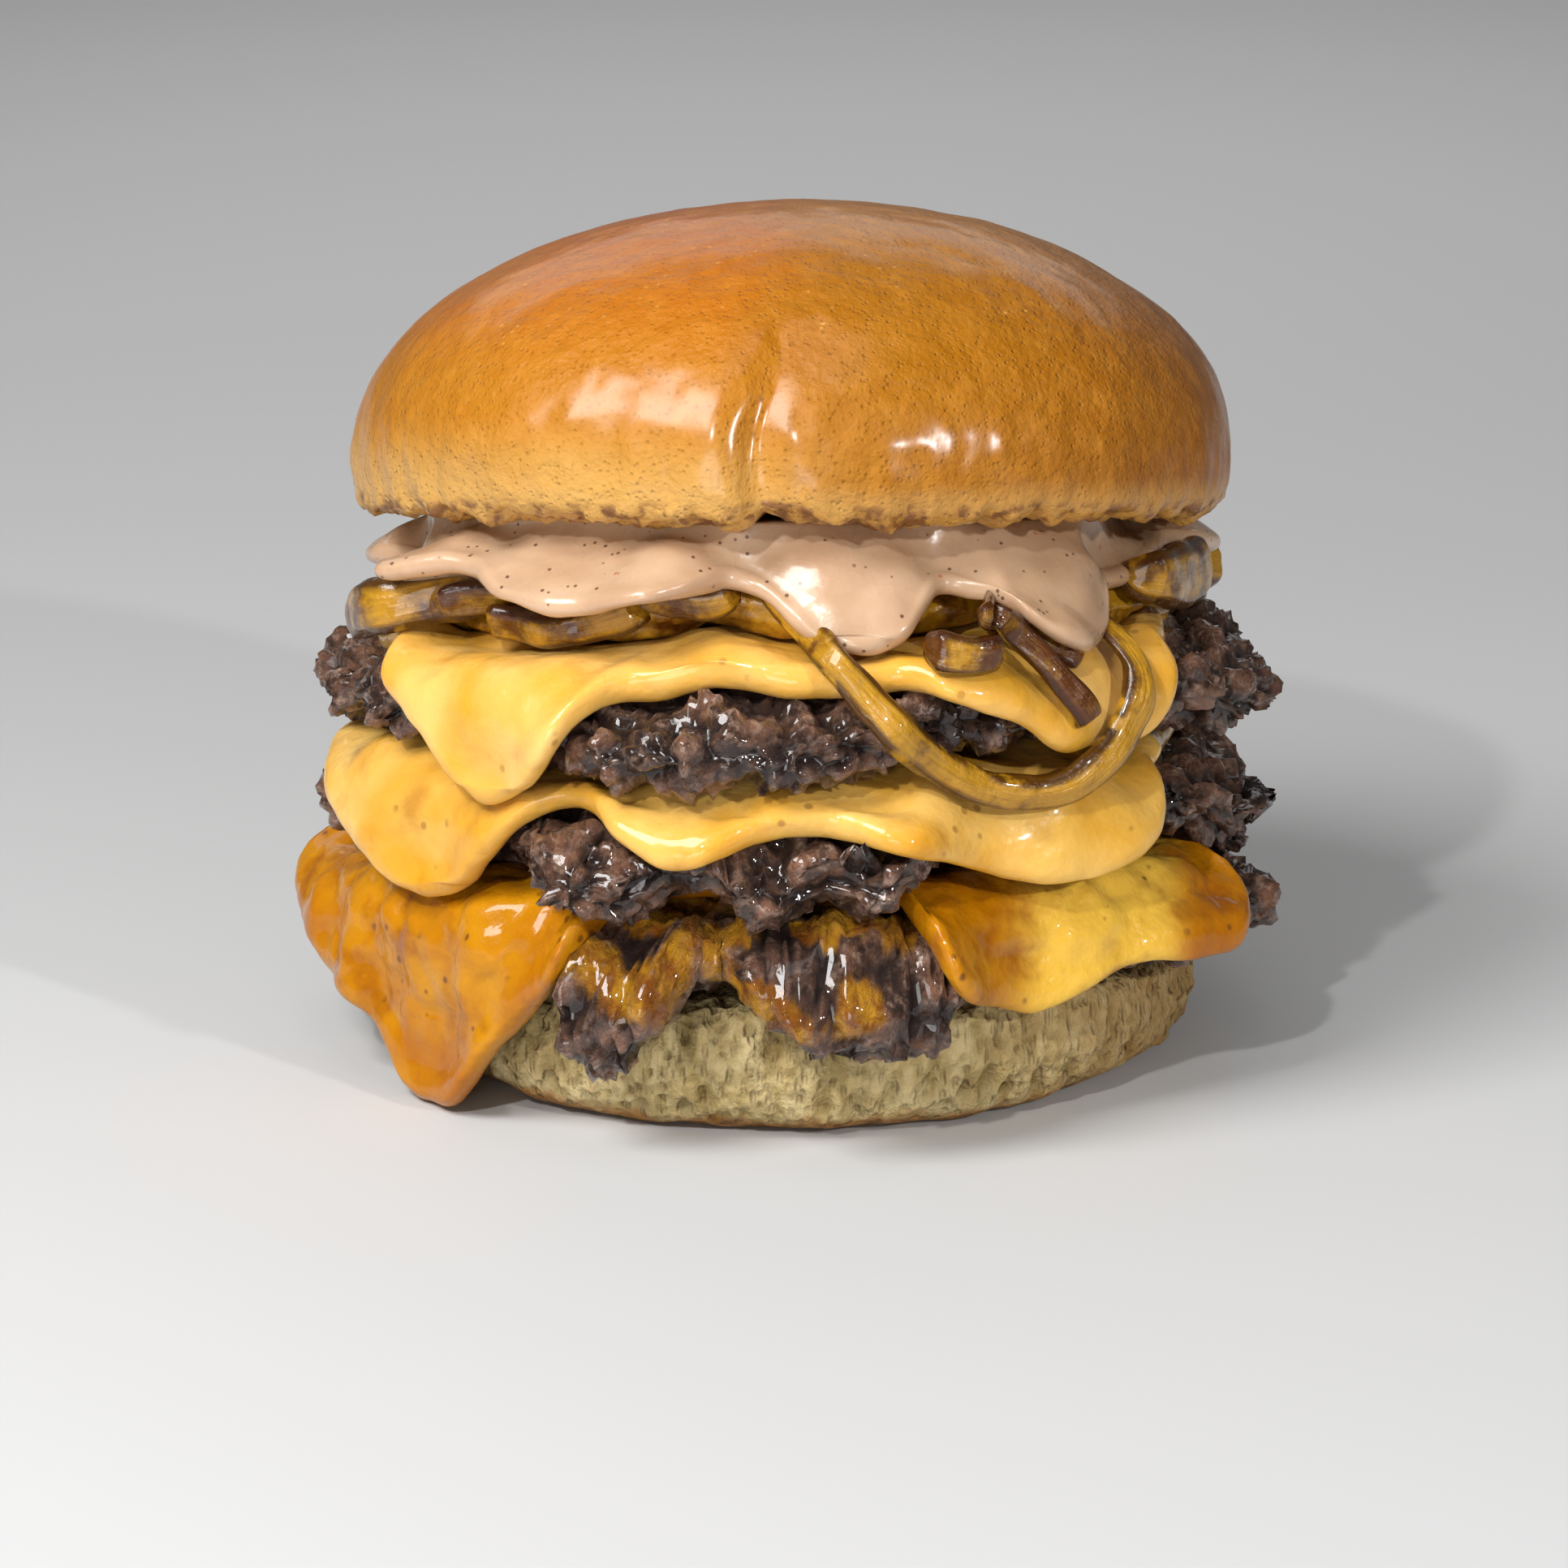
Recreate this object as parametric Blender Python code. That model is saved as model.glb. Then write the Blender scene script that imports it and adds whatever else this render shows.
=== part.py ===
"""A tall cheeseburger: heel, three smashed patties with melted cheese, fried onions, pink sauce and crown.

Units are metres, +Z up, the front is -Y. The origin is the middle of the heel's flat underside.
Each layer is laid over the ones below it: a line walks outward from the axis in every upright half plane,
rests on what is there, and bends down where nothing carries it. Inside the functions lengths are millimetres.
"""

import math

import bmesh
import bpy
import numpy as np
from mathutils import Vector, noise
from mathutils.bvhtree import BVHTree

MM = 0.001
COLUMNS = 60  # half planes round the axis, a multiple of 4
GAP = 0.4  # clear space between neighbours
CELL = 0.5  # step of the two maps of what is laid so far
RADIUS_CELLS = 150
HEIGHT_CELLS = 230
STEP = 0.5  # step of the walk
WALK = 130.0  # longest walk
HANGING_SLOPE = 1.35  # steeper than this a layer hangs free
REST_SLOPES = (-0.5, 1.2)  # the flattest and the steepest that a carried layer lies

# Driving sizes
CROWN_RADIUS = 54.4
CROWN_HEIGHT = 38.0
CROWN_BELLY = 7.0  # height of the widest ring above the cut
CROWN_PLANE = 66.2  # height of the cut on the axis
CROWN_TILT = math.radians(10.4)  # the crown leans back
CROWN_APEX_SHIFT = 1.2  # how far right of the axis the crown is highest
CROWN_ROWS = 7
CROWN_RIM = [(0.3, 3.2), (1.0, 0.7), (2.2, 0.0)]  # how far inside the radius and above the cut
HEEL_RADIUS = 50.6
HEEL_FOOT = 44.0  # radius of the flat underside
HEEL_SIDE = [(0.0, 8.0), (1.6, 3.6), (4.4, 1.1)]  # how far inside the radius and above the foot
HEEL_CUT_EDGE = [(2.4, 0.0), (0.9, 1.2)]  # how far inside the radius and below the cut
HEEL_TOP = 13.2
HEEL_LEAN = 4.4  # how much higher the cut is at the front than on the axis
LEAN_RADIUS = 57.0

FLAT = 38.0  # each layer is an even sheet out to this length
ROW_LENGTH = 8.0  # rows of points follow each other at this length
ROW_TURN = 0.5  # or at this turn, in radians
CHORD_GAP = 0.5  # more clear space where a straight face bridges a bend
CLEARANCE = 0.2  # least clear space, kept by pressing a piece in
GIVE_STEP = 0.15
GIVE_TRIES = 32
FAR = 120.0  # beyond every piece
BED_RADIUS = 46.0  # where an onion piece lies if nothing is beside it

RIM = 58.0  # radius at which a layer's rim takes its unevenness
PATTY_THICKNESS = 10.6
PATTY_LEANS = {"patty_bottom": 2.4, "patty_middle": 0.5, "patty_top": 0.8}  # extra thickness at the front
RAGGED = 1.8  # how far a ragged rim strays, and over what length it does
RAGGED_SIZE = 7.0
CRAGS_ABOVE = 1.9  # height of the lumps on a patty's top and underside, and their size
CRAGS_BELOW = 1.1
CRAG_SIZE = 5.5
CRAGGY_BORDER = 16.0  # how far from its rim a patty has them
FLAP_LENGTH = 14.0  # a patty that reaches far out is pressed thinner over this length
PATTY_ROUNDING = 7.0  # over what length a patty's rim rounds off
PATTY_ROWS = 5
CHEESE_THICKNESS = 2.3
CHEESE_SWELL = 0.4
CHEESE_SWELL_SIZE = 14.0
CHEESE_BEAD = 0.7  # how much thicker a slice is just above its lower edge
CHEESE_ROUNDING = 2.2
CHEESE_ROWS = 6
ONION_BED_THICKNESS = 3.2
ONION_BED_LEAN = 2.6
ONION_BED_ROUNDING = 2.5
ONION_BED_ROWS = 2
ONION_BED_RAGGED_SIZE = 9.0
ONION_SIDES = 7
SAUCE_LIP = 2.4
SAUCE_ROWS = 4
CREASE_DEPTH = 1.1
CREASE_ANGLE = 176.0  # where the crown is pinched, from the back
CREASE_WIDTH = 5.0  # in degrees
CREASE_TOP = 24.0
CROWN_SWELL = 0.8
CROWN_SWELL_SIZE = 24.0
HEEL_SWELL = 0.7
HEEL_SWELL_SIZE = 16.0

# How much a free layer turns down in a millimetre, and how far past upright it turns back to the stack
CHEESE_BENDS = {
    "cheese_bottom": [(-90, 0.3), (-68, 0.17), (-44, 0.17), (-30, 0.3), (90, 0.3)],
    "cheese_middle": [(0, 0.3), (180, 0.3)],
    "cheese_top": [(0, 0.3), (180, 0.3)],
}
BED_BEND = 0.06
SAUCE_BEND = 0.16
PATTY_CLING = 0.1
CHEESE_CLINGS = {"cheese_bottom": 0.05, "cheese_middle": 0.15, "cheese_top": 0.25}
SAUCE_CLING = 0.3

# Colour and roughness
CRUST = ((0.62, 0.29, 0.05), 0.42)
CRUMB = ((0.66, 0.52, 0.27), 0.85)
BEEF = ((0.12, 0.06, 0.035), 0.5)
CHEDDAR = ((0.85, 0.42, 0.03), 0.25)
ONION = ((0.42, 0.21, 0.03), 0.3)
DRESSING = ((0.88, 0.62, 0.42), 0.25)

# Length of each patty from the axis to its ragged edge, by angle from the front, right positive
PATTY_BOTTOM_REACH = [
    (-180, 58), (-150, 59), (-120, 58.5), (-104, 58), (-86, 53), (-62, 51), (-40, 51), (-32, 52), (-26, 58),
    (-18, 58), (-12, 52), (-6, 53), (-2, 56), (5, 57), (14, 57), (19, 56), (23, 53), (29, 52), (45, 53),
    (64, 55), (92, 59), (122, 58), (150, 59),
]
PATTY_BOTTOM_BEND = [
    (-180, 0.04), (-120, 0.05), (-92, 0.08), (-60, 0.05), (-31, 0.1), (-26, 0.28), (-17, 0.28), (-12, 0.1),
    (-5, 0.2), (16, 0.24), (22, 0.1), (30, 0.05), (90, 0.06), (120, 0.04),
]
PATTY_MIDDLE_REACH = [
    (-180, 57), (-142, 58), (-112, 56), (-90, 56.5), (-60, 54), (-37, 54), (-30, 59.5), (-24, 61), (-18, 60),
    (-12, 54), (-6, 59.5), (0, 60.5), (8, 60.5), (14, 60), (18, 56), (30, 53), (45, 53), (66, 55), (80, 59),
    (96, 59.5), (106, 58), (122, 57), (150, 58),
]
PATTY_MIDDLE_BEND = [
    (-180, 0.04), (-36, 0.05), (-24, 0.1), (10, 0.11), (30, 0.05), (60, 0.05), (80, 0.11), (98, 0.12),
    (112, 0.04),
]
PATTY_TOP_REACH = [
    (-180, 56), (-152, 58), (-122, 56.5), (-88, 58), (-70, 56), (-50, 53.5), (-35, 53.5), (-24, 58),
    (-10, 59.5), (5, 59), (13, 57.5), (21, 54), (36, 52.5), (52, 53), (70, 56), (84, 58), (100, 57.5),
    (130, 57), (155, 58),
]
PATTY_TOP_BEND = [(-180, 0.04), (-24, 0.06), (8, 0.06), (70, 0.05), (85, 0.08), (100, 0.05)]

# Each slice is a square laid towards the front: the length from the axis that it covers before it melts down
SLICE_REACH = [
    (-180, 46), (-150, 50), (-135, 53), (-115, 50), (-95, 48), (-75, 52), (-45, 54), (0, 54), (45, 54),
    (60, 51), (75, 47), (100, 46), (120, 49), (135, 52), (152, 49),
]
BARED = [(-26, 0), (-20, 9), (10, 9), (16, 0)]  # the bottom slice leaves the front of its patty bare
FREE = 90.0  # an edge this high hangs nowhere

# Height of each slice's lower edge
CHEESE_BOTTOM_EDGE = [
    (-180, FREE), (-155, 22), (-138, 13), (-122, 22), (-108, 24), (-92, 15), (-75, 10), (-66, 8), (-60, 4),
    (-56, 0.6), (-46, 0.6), (-42, 5), (-38, 11), (-33, 16), (-28, 20), (-24, 24), (-20, FREE), (10, FREE),
    (14, 28), (18, 20), (24, 17), (32, 14.5), (37, 15.5), (46, 18), (51, 18.5), (63, 17), (70, 21),
    (77, FREE), (112, FREE), (124, 20), (134, 13), (145, 20), (158, FREE),
]
CHEESE_MIDDLE_EDGE = [
    (-180, FREE), (-160, 36), (-142, 27), (-128, 34), (-115, FREE), (-100, FREE), (-88, 37), (-75, 34),
    (-65, 30), (-58, 27), (-51, 25), (-45, 27), (-42, 32), (-37, 36), (-32, 38.5), (-27, 39.5),
    (-22, 38.6), (-17, 36.6), (-12, 36), (-8, 36.6), (-4, 38.2), (4, 38.8), (10, 38), (15, 36.4), (21, 34.8),
    (27, 32.7), (34, 31), (40, 31.5), (46, 33), (51, 36), (56, 41), (66, FREE), (104, FREE), (118, 36),
    (134, 24), (148, 34), (160, FREE),
]
CHEESE_TOP_EDGE = [
    (-180, FREE), (-158, 50), (-140, 37), (-122, 48), (-108, FREE), (-66, FREE), (-60, 52), (-56, 50),
    (-51, 48), (-46, 45), (-42, 41), (-38, 38.5), (-34, 41), (-30, 46), (-26, 51), (-20, 55), (-11, 58.6),
    (-2, 60), (8, 57.7), (16, 54.9), (23, 52.8), (29, 50.5), (33, 47.3), (40, 47.2), (47, 46.5), (52, 50),
    (58, 53), (66, FREE), (106, FREE), (122, 47), (138, 35), (154, 47), (166, FREE),
]

BED_REACH = [(-180, 43), (-90, 49), (-50, 46), (0, 46), (50, 45), (90, 49)]

# Length at which the sauce leaves the crown, the least length of its runs, and the height of their ends
SAUCE_NECK = [(-180, 42), (-90, 45), (-50, 46), (0, 44), (50, 44), (70, 41), (90, 40)]
SAUCE_REACH = [
    (-180, 46), (-84, 46), (-74, 49), (-66, 54), (-57, 55.5), (-48, 52), (-40, 49), (0, 47), (90, 46),
]
SAUCE_EDGE = [
    (-180, 50), (-158, 52), (-134, 47), (-112, 55), (-90, 59.5), (-74, 62), (-66, 62.5), (-58, 64.5),
    (-50, 66.5), (-44, 66.5), (-39, 65), (-35, 64.2), (-29, 64.2), (-25, 64.8), (-22, 65.8), (-15, 66.8),
    (-9, 68), (-5, 67), (-2, 65), (2, 62.5), (5, 60.8), (11, 60.6), (15, 62.5), (18, 65.2), (21, 66.3),
    (26, 66), (29, 64), (33, 61.5), (37, 59.3), (44, 59), (48, 61), (53, 65), (60, 67), (80, 64),
    (100, 59), (128, 50), (152, 52),
]

# Onion pieces: (angle, height) along the piece, width across it and thickness
ONIONS = {
    "onion_slice_left": dict(route=[(-50, 62.5), (-58, 61), (-67, 58.5), (-77, 55.5)], width=7.0, thick=4.0),
    "onion_dark_left": dict(route=[(-54, 61.5), (-49, 62.5), (-43, 63)], width=4.2, thick=2.6),
    "onion_strip_left": dict(
        route=[(-49, 60.5), (-41, 59.8), (-32, 60.5), (-25, 62.5), (-20, 64.5)], width=4.4, thick=3.0
    ),
    "onion_strip_middle": dict(route=[(-22, 66.5), (-17, 65), (-12, 64.5), (-7, 66.5)], width=3.8, thick=2.8),
    "onion_piece_right": dict(route=[(15.5, 61.8), (20, 61), (26, 61)], width=4.6, thick=2.8),
    "onion_strip_right": dict(route=[(21, 65.5), (27, 64.8), (33, 61), (39, 57.2)], width=4.2, thick=3.0),
    "onion_brown_strand": dict(
        route=[(23.5, 66), (27, 63.5), (31, 59), (34.5, 54), (36.5, 50)], width=3.6, thick=2.4
    ),
    "onion_loop": dict(
        route=[
            (-7.5, 68.8), (-2, 66), (3.5, 62), (8.5, 56.5), (13, 51), (18, 47), (23.5, 44), (29.5, 42.8),
            (35.5, 44), (41, 48), (44.5, 53.5), (46, 59), (45, 65),
        ],
        width=4.6,
        thick=3.2,
    ),
    "onion_slice_right": dict(route=[(60, 64), (68, 62), (79, 60.5), (90, 60.5)], width=7.5, thick=4.4),
    "onion_strip_back_left": dict(
        route=[(-106, 57), (-116, 51), (-126, 44), (-140, 41), (-153, 46), (-164, 52)], width=4.4, thick=3.0
    ),
    "onion_strip_back": dict(route=[(168, 52.5), (178, 49), (190, 48.5), (199, 51)], width=4.2, thick=2.8),
    "onion_slice_back_right": dict(
        route=[(106, 56), (118, 52.5), (131, 51), (142, 53)], width=6.5, thick=4.5
    ),
}


def clear_scene():
    for old in list(bpy.data.objects):
        bpy.data.objects.remove(old)


def finish_material(name, colour, roughness):
    material = bpy.data.materials.new(name)
    material.use_nodes = True
    shader = material.node_tree.nodes["Principled BSDF"]
    shader.inputs["Base Color"].default_value = (*colour, 1.0)
    shader.inputs["Roughness"].default_value = roughness
    shader.inputs["Metallic"].default_value = 0.0
    return material


def column_angles():
    """Angle of each half plane from the front, right positive, in radians."""
    return np.arange(COLUMNS) * 2 * math.pi / COLUMNS


def round_the_stack(points):
    """Value in each column of a quantity given at some angles, eased from one to the next."""
    ordered = sorted((angle % 360, value) for angle, value in points)
    ordered = [(ordered[-1][0] - 360, ordered[-1][1]), *ordered, (ordered[0][0] + 360, ordered[0][1])]
    values = []
    for angle in np.degrees(column_angles()):
        for (left, low), (right, high) in zip(ordered, ordered[1:]):
            if left <= angle < right:
                share = (angle - left) / (right - left)
                values.append(low + (high - low) * share * share * (3 - 2 * share))
                break
    return np.array(values)


def lean(angles, radius, amount):
    """Rise of a leaning layer: all of it at the front, less than half as deep a drop at the back."""
    front = np.cos(angles)
    return amount * radius / LEAN_RADIUS * (0.7 * front + 0.3 * front * front)


def crown_plane(angles, radius):
    return CROWN_PLANE + math.tan(CROWN_TILT) * radius * np.cos(angles)


def lumps(angle, radius, height, size, seed):
    """Smooth noise from -1 to 1 at a place of the stack."""
    place = Vector((radius * math.sin(angle), -radius * math.cos(angle), height)) / size
    return noise.noise(place + Vector((seed, 2.3 * seed, 5.1)))


class Stack:
    """What is laid so far in each column: its top at each radius and its reach at each height."""

    def __init__(self):
        self.top = np.full((COLUMNS, RADIUS_CELLS), -50.0)
        self.reach = np.zeros((COLUMNS, HEIGHT_CELLS))

    def add(self, radius, height):
        """Adds closed profiles, one row for each column, and lets each column see its neighbours."""
        for first in range(radius.shape[1] - 1):
            for share in np.linspace(0, 1, 60):
                r = radius[:, first] * (1 - share) + radius[:, first + 1] * share
                z = height[:, first] * (1 - share) + height[:, first + 1] * share
                self.mark(r, z)
        beside = np.maximum(np.roll(self.reach, 1, 0), np.roll(self.reach, -1, 0))
        self.reach = np.maximum(self.reach, beside)

    def mark(self, r, z):
        columns = np.arange(COLUMNS)
        near = np.clip((r / CELL).astype(int), 0, RADIUS_CELLS - 1)
        level = np.clip((z / CELL).astype(int), 0, HEIGHT_CELLS - 1)
        np.maximum.at(self.top, (columns, near), z)
        np.maximum.at(self.reach, (columns, level), r)

    def top_at(self, r):
        near = np.clip((r / CELL).astype(int), 0, RADIUS_CELLS - 2)
        columns = np.arange(COLUMNS)
        return np.maximum(self.top[columns, near], self.top[columns, near + 1])

    def reach_at(self, z):
        level = np.clip((z / CELL).astype(int), 1, HEIGHT_CELLS - 2)
        columns = np.arange(COLUMNS)
        return np.max([self.reach[columns, level + shift] for shift in (-1, 0, 1)], axis=0)


def walk(stack, bend, cling):
    """The lines that a layer's underside follows, as radius, height and slope, one column for each step."""
    r = np.zeros(COLUMNS)
    z = np.full(COLUMNS, stack.top[:, 0].max() + GAP)
    slope = np.zeros(COLUMNS)
    hanging = np.zeros(COLUMNS, bool)
    line = [(r, z, slope)]
    for _ in range(int(WALK / STEP)):
        new_r = r + STEP * np.cos(slope)
        new_z = z - STEP * np.sin(slope)
        support = stack.top_at(new_r) + GAP
        carried = (new_z <= support) & ~hanging
        new_z = np.where(carried, np.minimum(support, z + STEP), new_z)
        beside = stack.reach_at(new_z) + GAP
        pushed = hanging & (new_r < beside)
        new_r = np.where(pushed, np.minimum(beside, r + STEP), new_r)
        rest_slope = np.clip(np.arctan2(z - new_z, np.maximum(new_r - r, 1e-6)), *REST_SLOPES)
        slope = np.where(carried, 0.7 * slope + 0.3 * rest_slope, slope + bend * STEP)
        slope = np.where(pushed, math.pi / 2, np.minimum(slope, math.pi / 2 + cling))
        hanging |= slope > HANGING_SLOPE
        r, z = new_r, new_z
        line.append((r, z, slope))
    r, z, slope = (np.array(values).T for values in zip(*line))
    return r, z, np.mean([np.roll(slope, shift, axis=1) for shift in (-2, -1, 0, 1, 2)], axis=0)


def eased(values):
    """Values of a walk made even with those of the columns beside."""
    return (np.roll(values, 1, axis=0) + 2 * values + np.roll(values, -1, axis=0)) / 4


def ends(line, shortest, lowest):
    """Length at which each column's walk stops: sunk to its lowest height, past its shortest length."""
    _, z, _ = line
    steps = np.arange(z.shape[1]) * STEP
    sunk = (z <= lowest[:, None]) & (steps[None, :] >= shortest[:, None])
    return np.where(sunk.any(1), sunk.argmax(1), z.shape[1] - 1) * STEP


def at_length(values, length):
    """Values of a walk at one length for each column."""
    steps = np.arange(values.shape[1]) * STEP
    return np.array([np.interp(s, steps, row) for s, row in zip(length, values)])


def row_lengths(line, start, end, rows):
    """Lengths of rows from start to end, spread evenly over each column's length and turning."""
    _, _, slope = line
    turning = np.abs(np.diff(slope, axis=1, prepend=slope[:, :1]))
    travel = np.cumsum(turning / ROW_TURN + STEP / ROW_LENGTH, axis=1)
    steps = np.arange(slope.shape[1]) * STEP
    lengths = []
    for column in range(COLUMNS):
        first = np.interp(start[column], steps, travel[column])
        last = np.interp(end[column], steps, travel[column])
        lengths.append(np.interp(np.linspace(first, last, rows + 1), travel[column], steps))
    return np.array(lengths).T


def layer_profile(line, end, thickness, rim, rows, relief=None):
    """Closed profiles of a layer, from its top on the axis round its rim to its underside on the axis.

    thickness is a function of the length and of what is left of it to the rim, where the edge rounds off.
    relief is a function of row, length left and side that lifts the surface.
    """
    r, z, slope = line
    lengths = [np.zeros(COLUMNS), *row_lengths(line, np.full(COLUMNS, FLAT), end, rows)]
    radius, height, tilts = [], [], []
    for outer in (True, False):
        for row, length in enumerate(lengths if outer else lengths[-2::-1]):
            left = end - length
            tilt = at_length(slope, length)
            full = thickness(length, left)
            fade = np.sqrt(np.clip(1 - (1 - np.clip(left / rim, 0, 1)) ** 2, 0, 1))
            offset = full / 2 * (1 + fade) if outer else full / 2 * (1 - fade)
            if not outer:
                offset = offset + CHORD_GAP * np.clip(tilt / 0.4, 0, 1) * fade
            if relief is not None and row > 0:
                offset = offset + relief(row, left, outer)
            radius.append(at_length(r, length) + offset * np.sin(tilt))
            height.append(at_length(z, length) + offset * np.cos(tilt))
            tilts.append(tilt)
    radius, height, tilts = np.array(radius).T, np.array(height).T, np.array(tilts).T
    radius[:, [0, -1]] = 0.0
    height[:, 0] = height[:, 0].mean()
    height[:, -1] = height[:, -1].max()
    return np.maximum(radius, 0.0), height, tilts


def skin_of(body):
    """The skin of a finished piece, swollen by the clear space that its neighbours keep."""
    points = [(vert.co + vert.normal * CLEARANCE * MM) / MM for vert in body.data.vertices]
    return BVHTree.FromPolygons(points, [face.vertices for face in body.data.polygons])


def skin_of_profile(radius, height):
    """Each four-cornered face of the profiles' skin as four triangles, two for each way to halve it."""
    angles = column_angles()[:, None]
    points = np.stack([radius * np.sin(angles), -radius * np.cos(angles), height], axis=2).reshape(-1, 3)
    rows = radius.shape[1]
    faces = []
    for column in range(COLUMNS):
        here, beside = column * rows, (column + 1) % COLUMNS * rows
        for row in range(rows - 1):
            a, b, c, d = here + row, beside + row, beside + row + 1, here + row + 1
            faces += [(a, b, c), (a, c, d), (a, b, d), (b, c, d)]
    return BVHTree.FromPolygons(points.tolist(), faces)


def settle(profile, laid):
    """Lifts a layer by small steps off what is laid already, wherever the two would touch."""
    radius, height, tilts = profile
    skins = [skin_of(body) for body in laid]
    last = radius.shape[1] - 1
    for _ in range(GIVE_TRIES):
        own = skin_of_profile(radius, height)
        touching = {face for skin in skins for face, _ in own.overlap(skin)}
        if not touching:
            break
        lifted = np.zeros(radius.shape, bool)
        for face in touching:
            column, row = divmod(face // 4, last)
            for beside in (column, (column + 1) % COLUMNS):
                lifted[beside, [row, row + 1, last - row, last - row - 1]] = True
        lifted[:, [0, last]] = False
        radius = radius + GIVE_STEP * np.sin(tilts) * lifted
        height = height + GIVE_STEP * np.cos(tilts) * lifted
    return radius, height


def shaped_ball(name, around, along, place, look):
    """A closed skin of around columns and along rows between two poles, each point put where place says."""
    mesh = bpy.data.meshes.new(name)
    ball = bmesh.new()
    bmesh.ops.create_uvsphere(ball, u_segments=around, v_segments=along, radius=1.0)
    for vert in ball.verts:
        row = round(math.acos(max(-1.0, min(1.0, vert.co.z))) / math.pi * along)
        column = round(math.atan2(vert.co.x, -vert.co.y) / (2 * math.pi) * around) % around
        vert.co = Vector(place(column, row)) * MM
    bmesh.ops.triangulate(ball, faces=ball.faces)
    bmesh.ops.recalc_face_normals(ball, faces=ball.faces)
    if ball.calc_volume(signed=True) < 0:
        bmesh.ops.reverse_faces(ball, faces=ball.faces)
    ball.to_mesh(mesh)
    ball.free()
    mesh.shade_smooth()
    mesh.materials.append(finish_material(name, *look))
    body = bpy.data.objects.new(name, mesh)
    bpy.context.scene.collection.objects.link(body)
    return body


def give_way(body, laid):
    """Presses a small piece in by small steps where it would touch what is laid already."""
    skins = [skin_of(other) for other in laid]
    for _ in range(GIVE_TRIES):
        points = [vert.co / MM for vert in body.data.vertices]
        own = BVHTree.FromPolygons(points, [face.vertices for face in body.data.polygons])
        touching = {face for skin in skins for face, _ in own.overlap(skin)}
        if not touching:
            return
        for index in {index for face in touching for index in body.data.polygons[face].vertices}:
            body.data.vertices[index].co -= body.data.vertices[index].normal * GIVE_STEP * MM
        body.data.update()


def turned_layer(name, profile, look):
    """The solid with these half-plane profiles, from its top on the axis to its underside on the axis."""
    radius, height = profile
    angles = column_angles()

    def place(column, row):
        r, z = radius[column, row], height[column, row]
        return (r * math.sin(angles[column]), -r * math.cos(angles[column]), z)

    return shaped_ball(name, COLUMNS, radius.shape[1] - 1, place, look)


def heel(stack):
    """The bottom half of the bun: a flat foot, a soft belly and a leaning cut."""
    angles = column_angles()
    radius, height = [], []

    def put(base, level, on_cut):
        uneven = np.array([HEEL_SWELL * lumps(a, HEEL_RADIUS, base, HEEL_SWELL_SIZE, 3) for a in angles])
        r = np.full(COLUMNS, base) + (uneven if HEEL_FOOT < base else 0)
        radius.append(r)
        height.append(np.full(COLUMNS, level) + (HEEL_TOP + lean(angles, r, HEEL_LEAN) if on_cut else 0))

    put(0.0, 0.0, True)
    for inside, below in HEEL_CUT_EDGE:
        put(HEEL_RADIUS - inside, -below, True)
    for inside, above in HEEL_SIDE:
        put(HEEL_RADIUS - inside, above, False)
    put(HEEL_FOOT, 0.0, False)
    put(0.0, 0.0, False)
    profile = np.array(radius).T, np.array(height).T
    stack.add(*profile)
    return turned_layer("bun_heel", profile, CRUMB)


def patty(stack, laid, name, reach, bend, seed):
    """Ground beef pressed flat on the griddle, with lumps and clefts round its ragged rim."""
    angles = column_angles()
    strays = [RAGGED * lumps(a, RIM, seed, RAGGED_SIZE, seed) for a in angles]
    end = round_the_stack(reach) + np.array(strays)
    line = walk(stack, round_the_stack(bend), PATTY_CLING)

    def thickness(length, left):
        flap = np.clip((end - 55) / 5, 0, 1) * np.clip((FLAP_LENGTH - left) / FLAP_LENGTH, 0, 1)
        return PATTY_THICKNESS * (1 - 0.4 * flap) + lean(angles, length, PATTY_LEANS[name])

    def relief(row, left, outer):
        craggy = np.clip((CRAGGY_BORDER - left) / 8, 0, 1)
        lift = np.array([lumps(a, RIM, 3.1 * row, CRAG_SIZE, seed + 7) for a in angles])
        return craggy * (CRAGS_ABOVE * lift if outer else CRAGS_BELOW * np.abs(lift))

    profile = settle(layer_profile(line, end, thickness, PATTY_ROUNDING, PATTY_ROWS, relief), laid)
    stack.add(*profile)
    return turned_layer(name, profile, BEEF)


def cheese(stack, laid, name, covered, edge, seed):
    """A square slice melted over the patty: its corners run down the sides and end in a round bead."""
    angles = column_angles()
    line = walk(stack, round_the_stack(CHEESE_BENDS[name]), CHEESE_CLINGS[name])
    end = ends(line, covered, round_the_stack(edge) + 1.0)

    def thickness(length, left):
        return CHEESE_THICKNESS + CHEESE_BEAD * np.exp(-(((left - 2.4) / 2.6) ** 2))

    def relief(row, left, outer):
        swell = np.array([lumps(a, RIM, 4.0 * row, CHEESE_SWELL_SIZE, seed) for a in angles])
        return CHEESE_SWELL * (1 + swell) * np.clip((end - left - FLAT) / 10, 0, 1) if outer else 0.0

    profile = settle(layer_profile(line, end, thickness, CHEESE_ROUNDING, CHEESE_ROWS, relief), laid)
    stack.add(*profile)
    return turned_layer(name, profile, CHEDDAR)


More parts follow.
